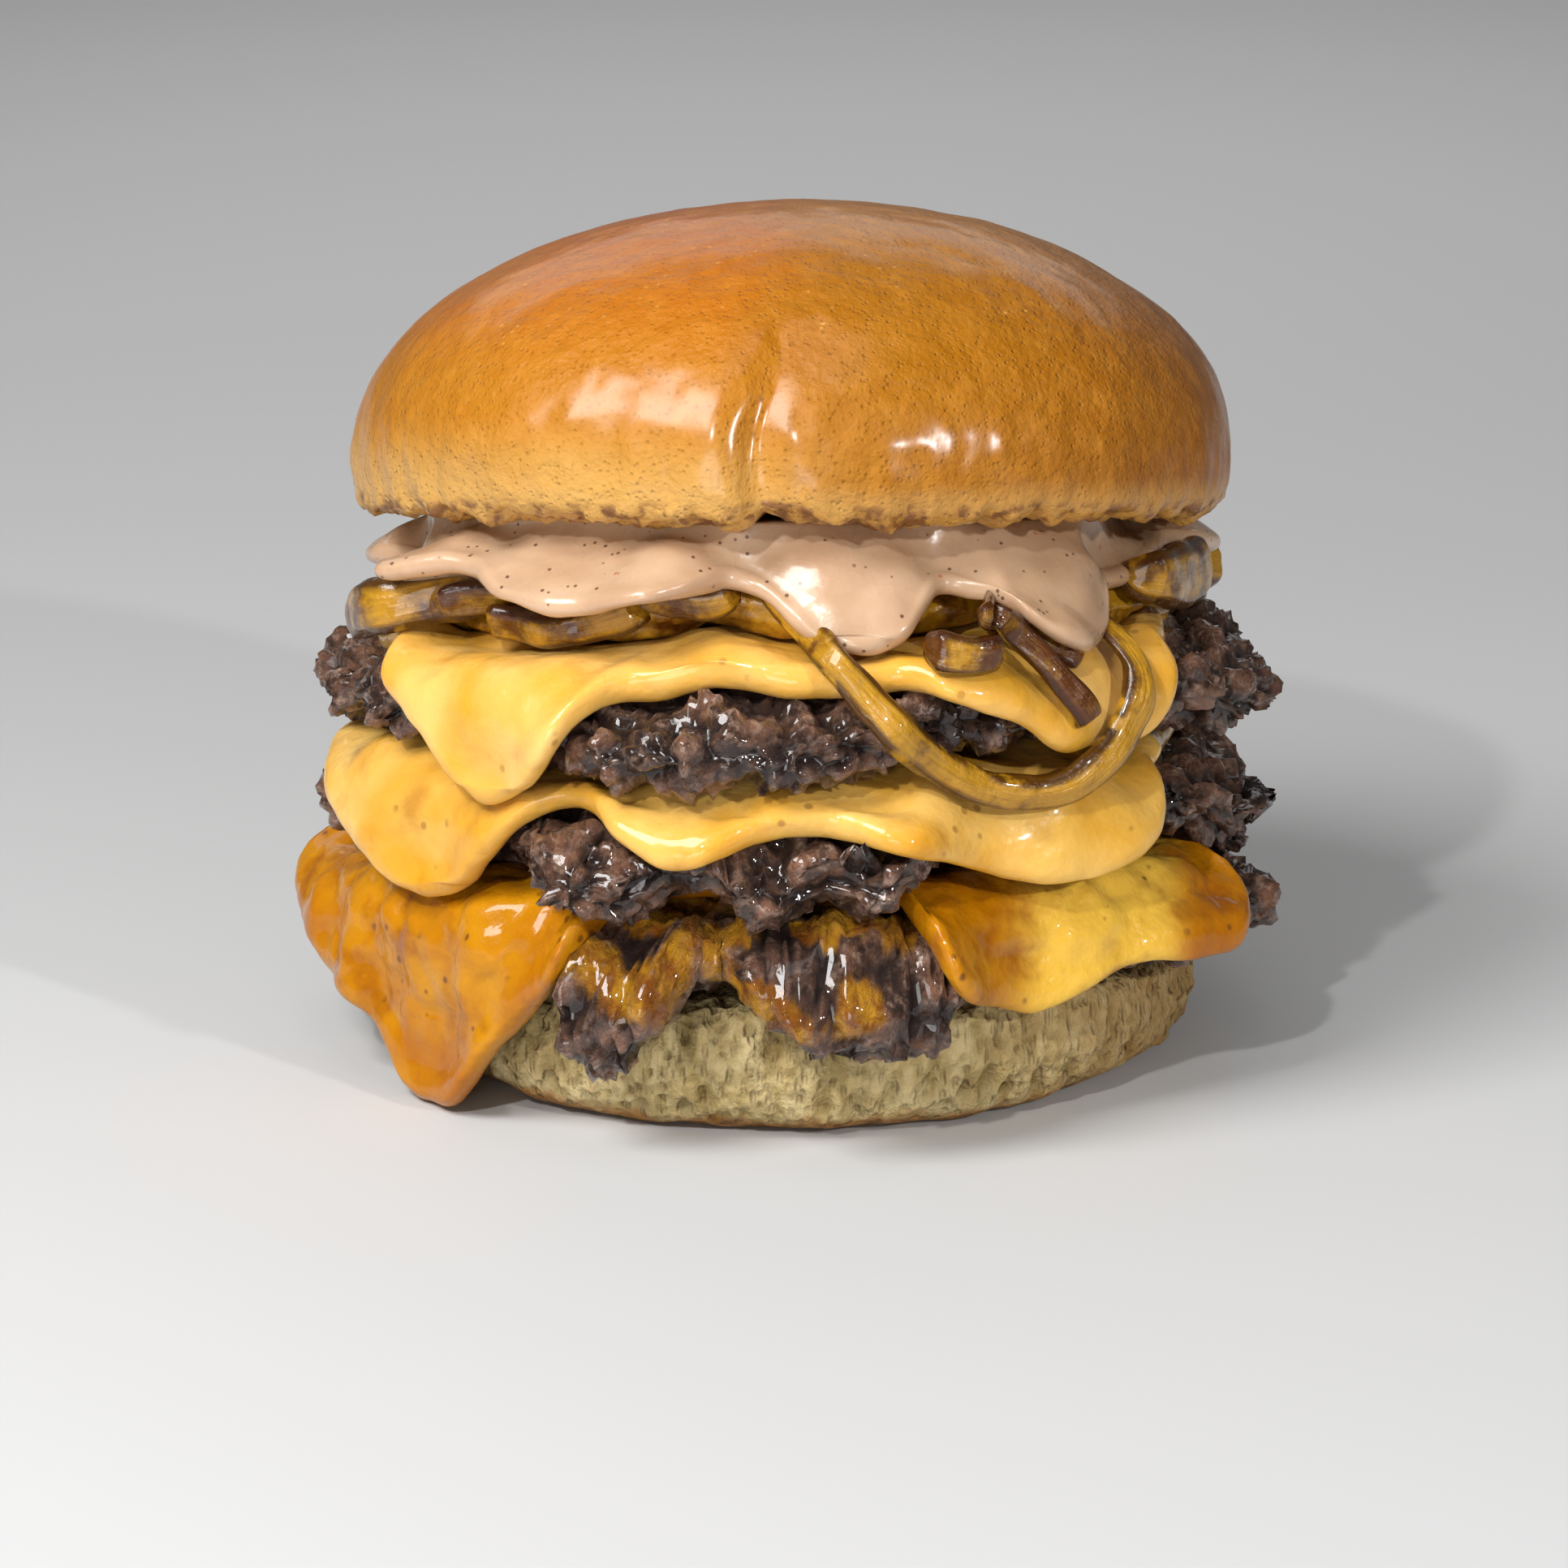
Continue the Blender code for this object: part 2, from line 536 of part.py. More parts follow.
def onion_bed(stack, laid):
    """The soft heap of fried onion between cheese and sauce, out to its uneven outline."""
    angles = column_angles()
    strays = [RAGGED * lumps(a, BED_RADIUS, 0, ONION_BED_RAGGED_SIZE, 21) for a in angles]
    end = round_the_stack(BED_REACH) + np.array(strays)
    line = walk(stack, BED_BEND, PATTY_CLING)

    def thickness(length, left):
        return ONION_BED_THICKNESS + lean(angles, length, ONION_BED_LEAN)

    profile = settle(layer_profile(line, end, thickness, ONION_BED_ROUNDING, ONION_BED_ROWS), laid)
    stack.add(*profile)
    return turned_layer("onion_bed", profile, ONION)


def sauce(stack, laid):
    """Pink burger sauce that fills the room under the crown and runs down over the onions in scallops."""
    angles = column_angles()
    line = [eased(values) for values in walk(stack, SAUCE_BEND, SAUCE_CLING)]
    r, z, slope = line
    neck = round_the_stack(SAUCE_NECK)
    end = ends(line, round_the_stack(SAUCE_REACH), round_the_stack(SAUCE_EDGE) - 1.0)
    room = crown_plane(angles, neck) - GAP - at_length(z, neck)
    rows = row_lengths(line, neck, end, SAUCE_ROWS)
    radius, height, tilts = [0 * neck], [crown_plane(angles, 0 * neck) - GAP], [0 * neck]
    for row, length in enumerate(rows):
        share = row / (len(rows) - 1)
        left = end - length
        full = SAUCE_LIP + (room - SAUCE_LIP) * (1 - share) ** 1.6
        fade = np.sqrt(np.clip(1 - (1 - np.clip(left / SAUCE_LIP, 0, 1)) ** 2, 0, 1))
        offset = full / 2 * (1 + fade)
        flare = at_length(slope, length) * min(share * 1.5, 1)
        radius.append(at_length(r, length) + offset * np.sin(flare))
        height.append(at_length(z, length) + offset * np.cos(flare))
        tilts.append(flare)
    for length in (rows[3], rows[2], rows[0], np.full(COLUMNS, FLAT)):
        tilt = at_length(slope, length)
        clear = CHORD_GAP * np.clip(np.abs(tilt) / 0.4, 0, 1)
        radius.append(at_length(r, length) + clear * np.sin(tilt))
        height.append(at_length(z, length) + clear * np.cos(tilt))
        tilts.append(tilt)
    radius.append(0 * neck)
    height.append(0 * neck + z[:, 0].max())
    tilts.append(0 * neck)
    radius, height = settle([np.array(values).T for values in (radius, height, tilts)], laid)
    height = np.minimum(height, crown_plane(angles[:, None], radius) - GAP)
    stack.add(radius, height)
    return turned_layer("burger_sauce", (radius, height), DRESSING)


def crown_profile(rows):
    """Half the crown's outline in its own frame, from the apex to the cut's edge, as radius and height."""
    outline = []
    for step in range(rows):
        turn = math.pi / 2 * step / (rows - 1)
        rise = (CROWN_HEIGHT - CROWN_BELLY) * math.cos(turn)
        outline.append((CROWN_RADIUS * math.sin(turn), CROWN_BELLY + rise))
    return outline + [(CROWN_RADIUS - inside, above) for inside, above in CROWN_RIM]


def crown():
    """The domed top half of the bun, leaning back on its flat cut, with one shallow crease at the front."""
    angles = column_angles()
    outline = [*crown_profile(CROWN_ROWS), (0.0, 0.0)]
    cosine, sine = math.cos(CROWN_TILT), math.sin(CROWN_TILT)

    def place(column, row):
        r, h = outline[row]
        angle = angles[column]
        side = min(r / 40, 1) * (h > 0)
        swell = CROWN_SWELL * lumps(angle, r, h, CROWN_SWELL_SIZE, 11) * side
        away = (math.degrees(angle) + 180) % 360 - CREASE_ANGLE
        crease = -CREASE_DEPTH * math.exp(-((away / CREASE_WIDTH) ** 2)) * side * (h < CREASE_TOP)
        r = r + swell + crease
        rise = max(h - CROWN_BELLY, 0) / (CROWN_HEIGHT - CROWN_BELLY)
        x, y = r * math.sin(angle) + CROWN_APEX_SHIFT * rise, -r * math.cos(angle)
        return (x, y * cosine + h * sine, CROWN_PLANE + h * cosine - y * sine)

    return shaped_ball("bun_crown", COLUMNS, len(outline) - 1, place, CRUST)


def smooth_route(route, steps):
    """Points of a smooth line through a route's points, evenly spaced in its own parameter."""
    route = [Vector(point) for point in route]
    padded = [2 * route[0] - route[1], *route, 2 * route[-1] - route[-2]]
    line = []
    for step in range(steps + 1):
        place = step / steps * (len(route) - 1)
        span = min(int(place), len(route) - 2)
        t = place - span
        a, b, c, d = padded[span:span + 4]
        curve = (2 * b) + (c - a) * t + (2 * a - 5 * b + 4 * c - d) * t * t + (3 * b - a - 3 * c + d) * t ** 3
        line.append(curve / 2)
    return line


def outermost(skins, angle, height):
    """How far from the axis the pieces laid so far reach at an angle and a height."""
    ahead = Vector((math.sin(angle), -math.cos(angle), 0))
    start = ahead * FAR + Vector((0, 0, height))
    hits = [skin.ray_cast(start, -ahead)[3] for skin in skins]
    return FAR - min([hit for hit in hits if hit is not None] + [FAR - BED_RADIUS])


def onion_piece(name, laid, route, width, thick):
    """A strip of fried onion that lies flat against the side of the stack, with tapered ends."""
    skins = [skin_of(body) for body in laid]
    stations = 4 + 2 * len(route)
    line = smooth_route([(angle, height, 0) for angle, height in route], stations)
    reach = []
    for angle, height, _ in line:
        spread = [math.radians(angle + turn) for turn in (-2, 0, 2)]
        levels = [height + width / 2 * share for share in (-1, -0.5, 0, 0.5, 1)]
        reach.append(max(outermost(skins, turn, level) for turn in spread for level in levels))
    centres = []
    for station, (angle, height, _) in enumerate(line):
        angle = math.radians(angle)
        r = np.mean(reach[max(0, station - 1):station + 2]) + GAP + thick / 2
        centres.append(Vector((r * math.sin(angle), -r * math.cos(angle), height)))

    def place(column, row):
        centre = centres[row]
        ahead = centres[min(row + 1, stations)] - centres[max(row - 1, 0)]
        outward = Vector((centre.x, centre.y, 0)).normalized()
        across = ahead.cross(outward).normalized()
        taper = math.sqrt(max(0.0, 1 - abs(2 * row / stations - 1) ** 5))
        turn = 2 * math.pi * column / ONION_SIDES
        flat = abs(math.cos(turn)) ** 0.7 * math.copysign(1, math.cos(turn))
        return centre + across * (width / 2 * flat * taper) + outward * (thick / 2 * math.sin(turn) * taper)

    body = shaped_ball(name, ONION_SIDES, stations, place, ONION)
    give_way(body, laid)
    return body


def burger():
    stack = Stack()
    slices = round_the_stack(SLICE_REACH)
    laid = [heel(stack)]
    laid.append(patty(stack, laid, "patty_bottom", PATTY_BOTTOM_REACH, PATTY_BOTTOM_BEND, 2))
    laid.append(cheese(stack, laid, "cheese_bottom", slices - round_the_stack(BARED), CHEESE_BOTTOM_EDGE, 31))
    laid.append(patty(stack, laid, "patty_middle", PATTY_MIDDLE_REACH, PATTY_MIDDLE_BEND, 5))
    laid.append(cheese(stack, laid, "cheese_middle", slices, CHEESE_MIDDLE_EDGE, 33))
    laid.append(patty(stack, laid, "patty_top", PATTY_TOP_REACH, PATTY_TOP_BEND, 9))
    laid.append(cheese(stack, laid, "cheese_top", slices, CHEESE_TOP_EDGE, 35))
    laid.append(onion_bed(stack, laid))
    laid.append(sauce(stack, laid))
    for name, shape in ONIONS.items():
        laid.append(onion_piece(name, laid, **shape))
    crown()


clear_scene()
burger()
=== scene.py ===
"""Looks of a tall cheeseburger: glossy crown, sauce, fried onions, three patties with melted cheese, heel.

Each layer is laid again over the ones below it, as its solid was, with far more points: a line walks outward
from the axis in every upright half plane, rests on what is there and bends down where nothing carries it.
The scene is in metres, +Z up, the front is -Y. The functions that lay the layers work in millimetres.
"""

import functools
import itertools
import math
import bmesh
import bpy
import numpy as np
from mathutils import Matrix, Vector


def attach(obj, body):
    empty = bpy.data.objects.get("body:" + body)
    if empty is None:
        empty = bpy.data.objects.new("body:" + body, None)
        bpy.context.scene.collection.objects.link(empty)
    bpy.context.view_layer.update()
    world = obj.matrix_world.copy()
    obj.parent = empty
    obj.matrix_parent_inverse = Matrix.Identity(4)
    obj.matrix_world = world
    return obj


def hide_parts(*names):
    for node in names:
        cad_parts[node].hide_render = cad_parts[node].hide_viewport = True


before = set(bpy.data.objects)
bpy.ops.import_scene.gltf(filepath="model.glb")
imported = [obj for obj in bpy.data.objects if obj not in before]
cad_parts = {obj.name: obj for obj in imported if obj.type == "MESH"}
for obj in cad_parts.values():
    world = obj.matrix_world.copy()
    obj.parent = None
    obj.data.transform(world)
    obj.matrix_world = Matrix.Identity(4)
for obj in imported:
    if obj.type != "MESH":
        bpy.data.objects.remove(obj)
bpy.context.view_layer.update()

MM = 0.001
COLUMNS = 480  # half planes round the axis
ANGLES = np.arange(COLUMNS) * 2 * math.pi / COLUMNS  # from the front, right positive
DEGREES = np.degrees(ANGLES)
FROM_FRONT = (DEGREES[:, None] + 180) % 360 - 180  # -180 to 180, one row for each column
GAP = 0.15  # clear space between neighbours
CELL = 0.5  # step of the two maps of what is laid so far
RADIUS_CELLS = 150
HEIGHT_CELLS = 230
STEP = 0.5  # step of the walk
WALK = 120.0  # longest walk
FLAT = 34.0  # nothing inside this length shows
RIM = 58.0  # radius at which a layer's rim takes its unevenness

CROWN_RADIUS = 54.4
CROWN_HEIGHT = 38.0
CROWN_BELLY = 7.0  # height of the widest ring above the cut
CROWN_PLANE = 66.2  # height of the cut on the axis
CROWN_TILT = math.radians(10.4)  # the crown leans back
CROWN_APEX_SHIFT = 1.2
CREASE_AT = -4.5  # angle of the pinched crease
CREASE_TOP = 27  # its top end above the cut
TORN_HEIGHT = 3.0
CROWN_RIM = [(0.1, 5.2), (0.3, 3.4), (0.7, 1.6), (1.4, 0.4), (2.6, 0), (8, 0)]  # how far inside, how high
HEEL_RADIUS = 50.6
HEEL_FOOT = 44.0
HEEL_TOP = 13.2
HEEL_LEAN = 4.4
HEEL_EDGE = 16.0  # height of the side at the front, nearly
HEEL_SIDE = [(2.4, 1), (0.9, 0.93), (0, 0.5), (1.6, 0.2), (4.4, 0.07)]  # how far inside, share of height
LEAN_RADIUS = 57.0
PATTY_THICKNESS = 10.6
PATTY_LEANS = {"patty_bottom": 2.4, "patty_middle": 0.5, "patty_top": 0.8}
SMEAR_MIDDLE = -2  # angle of the smear of cheese on the bottom patty
SMEAR_HALF = 30  # half its angle
SMEAR_FOOT = 15  # its lowest height
CHEESE_THICKNESS = 2.4
CHEESE_BEAD = 1.3  # how much thicker a slice is at its edge
ONION_BED_THICKNESS = 3.2
ONION_BED_LEAN = 2.6
BED_RIM = 50.0
SAUCE_LIP = 2.6
SAUCE_ROWS = 30
SAUCE_RIM_ROWS = 12

# By angle from the front, right positive: how far each patty reaches, and how much its rim bends down
PATTY_REACH = {
    "patty_bottom": [
        (-180, 58), (-150, 59), (-120, 58.5), (-104, 58), (-86, 53), (-62, 51), (-40, 51), (-32, 51),
        (-26, 56.5), (-18, 57), (-13, 52), (-9, 49.5), (-6, 51), (-2, 54), (5, 54.8), (14, 55), (19, 54.5),
        (23, 51), (29, 50), (45, 52), (64, 55), (92, 59), (122, 58), (150, 59),
    ],
    "patty_middle": [
        (-180, 57), (-142, 58), (-112, 56), (-90, 56.5), (-60, 54), (-37, 53), (-30, 58.5), (-24, 60),
        (-18, 59), (-14, 53.5), (-10, 53.5), (-6, 58.5), (0, 59.5), (4, 58), (8, 59.5), (14, 59), (18, 55),
        (30, 53), (45, 53), (66, 55), (80, 59), (96, 59.5), (106, 58), (122, 57), (150, 58),
    ],
    "patty_top": [
        (-180, 56), (-152, 58), (-122, 56.5), (-88, 58), (-70, 56), (-50, 53.5), (-35, 53.5), (-24, 58),
        (-10, 59.5), (5, 59), (13, 57.5), (21, 54), (36, 52.5), (52, 53), (70, 56), (84, 58), (100, 57.5),
        (130, 57), (155, 58),
    ],
}
PATTY_BEND = {
    "patty_bottom": [
        (-180, 0.04), (-120, 0.05), (-92, 0.08), (-60, 0.05), (-31, 0.1), (-26, 0.28), (-17, 0.28),
        (-12, 0.1), (-5, 0.2), (16, 0.24), (22, 0.1), (30, 0.05), (90, 0.06), (120, 0.04),
    ],
    "patty_middle": [
        (-180, 0.04), (-36, 0.05), (-24, 0.1), (10, 0.11), (30, 0.05), (60, 0.05), (80, 0.11), (98, 0.12),
        (112, 0.04),
    ],
    "patty_top": [(-180, 0.04), (-24, 0.06), (8, 0.06), (70, 0.05), (85, 0.08), (100, 0.05)],
}

# Each slice is a square laid towards the front: the length that it covers before it melts down
SLICE_REACH = [
    (-180, 46), (-150, 50), (-135, 53), (-115, 50), (-95, 48), (-75, 52), (-45, 54), (0, 54), (45, 54),
    (60, 51), (75, 47), (100, 46), (120, 49), (135, 52), (152, 49),
]
CHEESE_BENDS = {
    "cheese_bottom": [(-90, 0.22), (-68, 0.15), (-44, 0.15), (-30, 0.22), (90, 0.22)],
    "cheese_middle": [(0, 0.22), (180, 0.22)],
    "cheese_top": [(0, 0.22), (180, 0.22)],
}
CHEESE_CLINGS = {"cheese_bottom": 0.05, "cheese_middle": 0.15, "cheese_top": 0.25}
BARED = [(-26, 0), (-20, 9), (10, 9), (16, 0)]  # the bottom slice leaves the front of its patty bare
FREE = 90.0  # an edge this high hangs nowhere

# Height of each slice's lower edge
CHEESE_EDGE = {
    "cheese_bottom": [
        (-180, FREE), (-155, 22), (-138, 13), (-122, 22), (-108, 24), (-92, 15), (-75, 10), (-66, 8),
        (-60, 4), (-56, 0), (-46, 0), (-42, 5), (-38, 11), (-33, 16), (-28, 20), (-24, 24), (-20, FREE),
        (10, FREE), (14, 28), (18, 20), (24, 17), (32, 14.5), (37, 15.5), (46, 18), (51, 18.5), (63, 17),
        (70, 21), (77, FREE), (112, FREE), (124, 20), (134, 13), (145, 20), (158, FREE),
    ],
    "cheese_middle": [
        (-180, FREE), (-160, 36), (-142, 27), (-128, 34), (-115, FREE), (-100, FREE), (-88, 37), (-75, 34),
        (-65, 30), (-58, 27), (-51, 25), (-45, 27), (-42, 32), (-37, 36), (-32, 38.5), (-27, 39.5),
        (-22, 38.4), (-17, 36), (-12, 35.4), (-8, 36.2), (-4, 38), (4, 38.8), (10, 38), (15, 36.4),
        (21, 34.8), (27, 32.7), (34, 31), (40, 31.5), (46, 33), (51, 36), (56, 41), (66, FREE),
        (104, FREE), (118, 36), (134, 24), (148, 34), (160, FREE),
    ],
    "cheese_top": [
        (-180, FREE), (-158, 50), (-140, 37), (-122, 48), (-108, FREE), (-66, FREE), (-60, 52), (-56, 50),
        (-51, 48), (-46, 45), (-42, 41), (-38, 38.5), (-34, 41), (-30, 46), (-26, 51), (-20, 55),
        (-11, 58.6), (-2, 60), (8, 57.7), (16, 54.9), (23, 52.8), (29, 50.5), (33, 47.3), (40, 47.2),
        (47, 46.5), (52, 50), (58, 53), (66, FREE), (106, FREE), (122, 47), (138, 35), (154, 47),
        (166, FREE),
    ],
}
SAUCE_NECK = [(-180, 42), (-90, 45), (-50, 46), (0, 44), (50, 44), (70, 41), (90, 40)]
SAUCE_EDGE = [
    (-180, 50), (-158, 52), (-134, 47), (-112, 55), (-90, 59.5), (-74, 62), (-66, 62.5), (-58, 64.5),
    (-50, 66.5), (-44, 66.5), (-39, 65), (-35, 64.2), (-29, 64.2), (-25, 64.8), (-22, 65.8), (-15, 66.8),
    (-9, 68), (-5, 67), (-2, 65), (2, 62.5), (5, 60.8), (11, 60.6), (15, 62.5), (18, 65.2), (21, 66.3),
    (26, 66), (29, 64), (33, 61.5), (37, 59.3), (44, 59), (48, 61), (53, 65), (60, 67), (80, 64),
    (100, 59), (128, 50), (152, 52),
]
# The length that the sauce covers before its edge may end
SAUCE_REACH = [
    (-180, 46), (-84, 46), (-74, 49), (-66, 54), (-57, 55.5), (-48, 52), (-40, 49), (0, 47), (90, 46),
]
BED_REACH = [(-180, 43), (-90, 49), (-50, 46), (0, 46), (50, 45), (90, 49)]

# Onion pieces: (angle, height) along the piece, width across it and thickness
ONIONS = {
    "onion_slice_left": dict(route=[(-50, 62.5), (-58, 61), (-67, 58.5), (-77, 55.5)], width=7.0, thick=4.0),
    "onion_dark_left": dict(route=[(-54, 61.5), (-49, 62.5), (-43, 63)], width=4.2, thick=2.6),
    "onion_strip_left": dict(
        route=[(-49, 60.5), (-41, 59.8), (-32, 60.5), (-25, 62.5), (-20, 64.5)], width=4.4, thick=3.0
    ),
    "onion_strip_middle": dict(route=[(-22, 66.5), (-17, 65), (-12, 64.5), (-7, 66.5)], width=3.8, thick=2.8),
    "onion_piece_right": dict(route=[(15.5, 61.8), (20, 61), (26, 61)], width=4.6, thick=2.8),
    "onion_strip_right": dict(route=[(21, 65.5), (27, 64.8), (33, 61), (39, 57.2)], width=4.2, thick=3.0),
    "onion_brown_strand": dict(
        route=[(23.5, 66), (27, 63.5), (31, 59), (34.5, 54), (36.5, 50)], width=3.6, thick=2.4
    ),
    "onion_loop": dict(
        route=[
            (-7.5, 68.8), (-2, 66), (3.5, 62), (8.5, 56.5), (13, 51), (18, 47), (23.5, 44), (29.5, 42.8),
            (35.5, 44), (41, 48), (44.5, 53.5), (46, 59), (45, 65),
        ],
        width=4.6,
        thick=3.2,
    ),
    "onion_slice_right": dict(route=[(60, 63), (68, 61.5), (79, 60), (90, 60)], width=7.2, thick=4.2),
    "onion_strip_back_left": dict(
        route=[(-106, 57), (-116, 51), (-126, 44), (-140, 41), (-153, 46), (-164, 52)], width=4.4, thick=3.0
    ),
    "onion_strip_back": dict(route=[(168, 52.5), (178, 49), (190, 48.5), (199, 51)], width=4.2, thick=2.8),
    "onion_slice_back_right": dict(
        route=[(106, 56), (118, 52.5), (131, 51), (142, 53)], width=6.5, thick=4.5
    ),
}

# How browned an onion piece is, from 0 to 1
LIGHTLY_BROWNED = 0.3
BROWNED_HEAP = 0.6
BROWNED = {
    "onion_dark_left": 0.9, "onion_strip_left": 0.7, "onion_strip_middle": 0.6, "onion_piece_right": 0.9,
    "onion_strip_right": 0.9, "onion_brown_strand": 1.0, "onion_slice_left": 0.5, "onion_slice_right": 0.6,
}

ONION_DEEP = (0.36, 0.175, 0.008)
ONION_PALE = (0.486, 0.245, 0.012)
ONION_BROWN = (0.09, 0.024, 0.001)
ONION_SCORCHED = (0.036, 0.0072, 0.0004)

# The two colours that a slice's patches run between, paler first, and how stained it is, from 0 to 1
CHEESE_COLOURS = {
    "cheese_bottom": ((0.66, 0.31, 0.006), (0.4, 0.12, 0.0), 1.0),
    "cheese_middle": ((0.84, 0.54, 0.16), (0.68, 0.31, 0.012), 0.3),
    "cheese_top": ((0.84, 0.53, 0.17), (0.7, 0.33, 0.015), 0.1),
}


# Shaping

def shifted(values, step, axis):
    """Neighbours' values: the columns join round the stack, rows and cells end."""
    if axis == 0:
        return np.roll(values, -step, 0)
    places = np.clip(np.arange(values.shape[1]) + step, 0, values.shape[1] - 1)
    return values[:, places]


def evened(values, spread, axis=0):
    """Values blurred over their neighbours."""
    steps = range(-math.ceil(3 * spread), math.ceil(3 * spread) + 1)
    weights = [math.exp(-0.5 * (step / spread) ** 2) for step in steps]
    return sum(shifted(values, step, axis) * weight for step, weight in zip(steps, weights)) / sum(weights)


def bridged(values, columns, cells):
    """A map on which clefts too narrow for a soft layer to sink into are bridged."""
    for pick in (np.maximum, np.minimum):
        for axis, far in ((0, columns), (1, cells)):
            values = functools.reduce(pick, [shifted(values, step, axis) for step in range(-far, far + 1)])
    return values


def around(points, spread=1.6):
    """Value in each column of a quantity given at some angles, with its corners rounded."""
    ordered = sorted((angle % 360, value) for angle, value in points)
    angles, values = zip(*ordered)
    return evened(np.interp(DEGREES, angles, values, period=360), spread)


def lean(radius, amount):
    """Rise of a leaning layer: all of it at the front, less than half as deep a drop at the back."""
    front = np.cos(ANGLES)
    return amount * radius / LEAN_RADIUS * (0.7 * front + 0.3 * front * front)


def crown_plane(radius):
    return CROWN_PLANE + math.tan(CROWN_TILT) * radius * np.cos(ANGLES)


def chance(cells, seed):
    """A repeatable random number from 0 to 1 for each whole-numbered cell of space."""
    mixed = (cells * np.array([73856093, 19349663, 83492791])).sum(-1) + seed * 2654435761
    mixed = (mixed ^ (mixed >> 13)) * 1274126177
    return ((mixed ^ (mixed >> 16)) & 0xFFFFFF) / 0xFFFFFF


def strewn(cells, seed):
    """Three random numbers for each cell."""
    return np.stack([chance(cells, seed + axis * 101) for axis in range(3)], -1)


def swells(points, size, seed):
    """Smooth lumps from about -1 to 1, with features of a size in millimetres."""
    places = points / size + 31.7
    cells = np.floor(places).astype(np.int64)
    inside = places - cells
    eased = inside * inside * inside * (inside * (inside * 6 - 15) + 10)
    total = 0
    for corner in itertools.product((0, 1), repeat=3):
        slopes = strewn(cells + np.array(corner), seed) * 2 - 1
        weight = np.prod(np.where(corner, eased, 1 - eased), -1)
        total = total + weight * (slopes * (inside - np.array(corner))).sum(-1)
    return total * 1.6


def nearest_two(points, size, seed):
    """Distances to the nearest two of the seeds strewn through space, where 1 is the seeds' spacing."""
    places = points / size + 11.3
    cells = np.floor(places).astype(np.int64)
    near = np.full(points.shape[:-1], 9.0)
    next_near = near
    for step in itertools.product((-1, 0, 1), repeat=3):
        here = cells + np.array(step)
        distance = np.linalg.norm(places - here - strewn(here, seed), axis=-1)
        next_near = np.minimum(next_near, np.maximum(near, distance))
        near = np.minimum(near, distance)
    return near, next_near


def lumps(points, size, seed):
    """Rounded lumps with clefts between them: 0 in a cleft, 1 on top."""
    warp = np.stack([swells(points, size * 0.8, seed + way) for way in (1, 2, 3)], -1)
    near, next_near = nearest_two(points + warp * size * 0.25, size, seed)
    return np.clip((next_near - near) / 0.55, 0, 1) ** 0.6


def pits(points, size, seed, wide):
    """Round holes scattered over a surface: 1 in the middle of a hole, 0 outside."""
    near, _ = nearest_two(points, size, seed)
    return np.clip(1 - (near / wide) ** 2, 0, 1)


def outward(points):
    """Which way the skin faces at each point of a grid of columns by rows."""
    across = np.roll(points, -1, 0) - np.roll(points, 1, 0)
    along = np.gradient(points, axis=1)
    facing = np.cross(along, across)
    return facing / np.maximum(np.linalg.norm(facing, axis=2, keepdims=True), 1e-9)


def raised(points, amount):
    """The skin moved along its own facing, its two poles left in place."""
    amount = amount.copy()
    amount[:, [0, -1]] = 0
    return points + outward(points) * amount[..., None]


def placed(radius, height):
    """Grid of points from radius and height, arrays of one row for each column."""
    angles = ANGLES[:, None]
    return np.stack([radius * np.sin(angles), -radius * np.cos(angles), height], axis=2)


def round_the_rim(radius, height):
    """A ring of points, one for each column, for the unevenness of a rim."""
    return placed(np.full((COLUMNS, 1), radius), np.full((COLUMNS, 1), height))


class Stack:
    """What is laid so far in each column: its top at each radius and its reach at each height."""

    def __init__(self):
        self.top = np.full((COLUMNS, RADIUS_CELLS), -50.0)
        self.reach = np.zeros((COLUMNS, HEIGHT_CELLS))

    def add(self, points):
        for first in range(points.shape[1] - 1):
            here, beyond = points[:, first], points[:, first + 1]
            parts = math.ceil(np.abs(beyond - here).max() / CELL) + 1
            for share in np.linspace(0, 1, parts):
                self.mark(here + (beyond - here) * share)

    def mark(self, points):
        x, y, z = points.T
        r = np.hypot(x, y)
        column = np.rint(np.arctan2(x, -y) / (2 * math.pi) * COLUMNS).astype(int) % COLUMNS
        np.maximum.at(self.top, (column, np.clip((r / CELL).astype(int), 0, RADIUS_CELLS - 1)), z)
        np.maximum.at(self.reach, (column, np.clip((z / CELL).astype(int), 0, HEIGHT_CELLS - 1)), r)

    def soft(self, columns, cells):
        """The two maps as a soft layer feels them, which bridges clefts up to twice this wide."""
        return bridged(self.top, columns, cells), bridged(self.reach, columns, cells)


def picked(table, places):
    """Each column's value of a map at its own cell."""
    return table[np.arange(COLUMNS), np.clip(places.astype(int), 0, table.shape[1] - 1)]


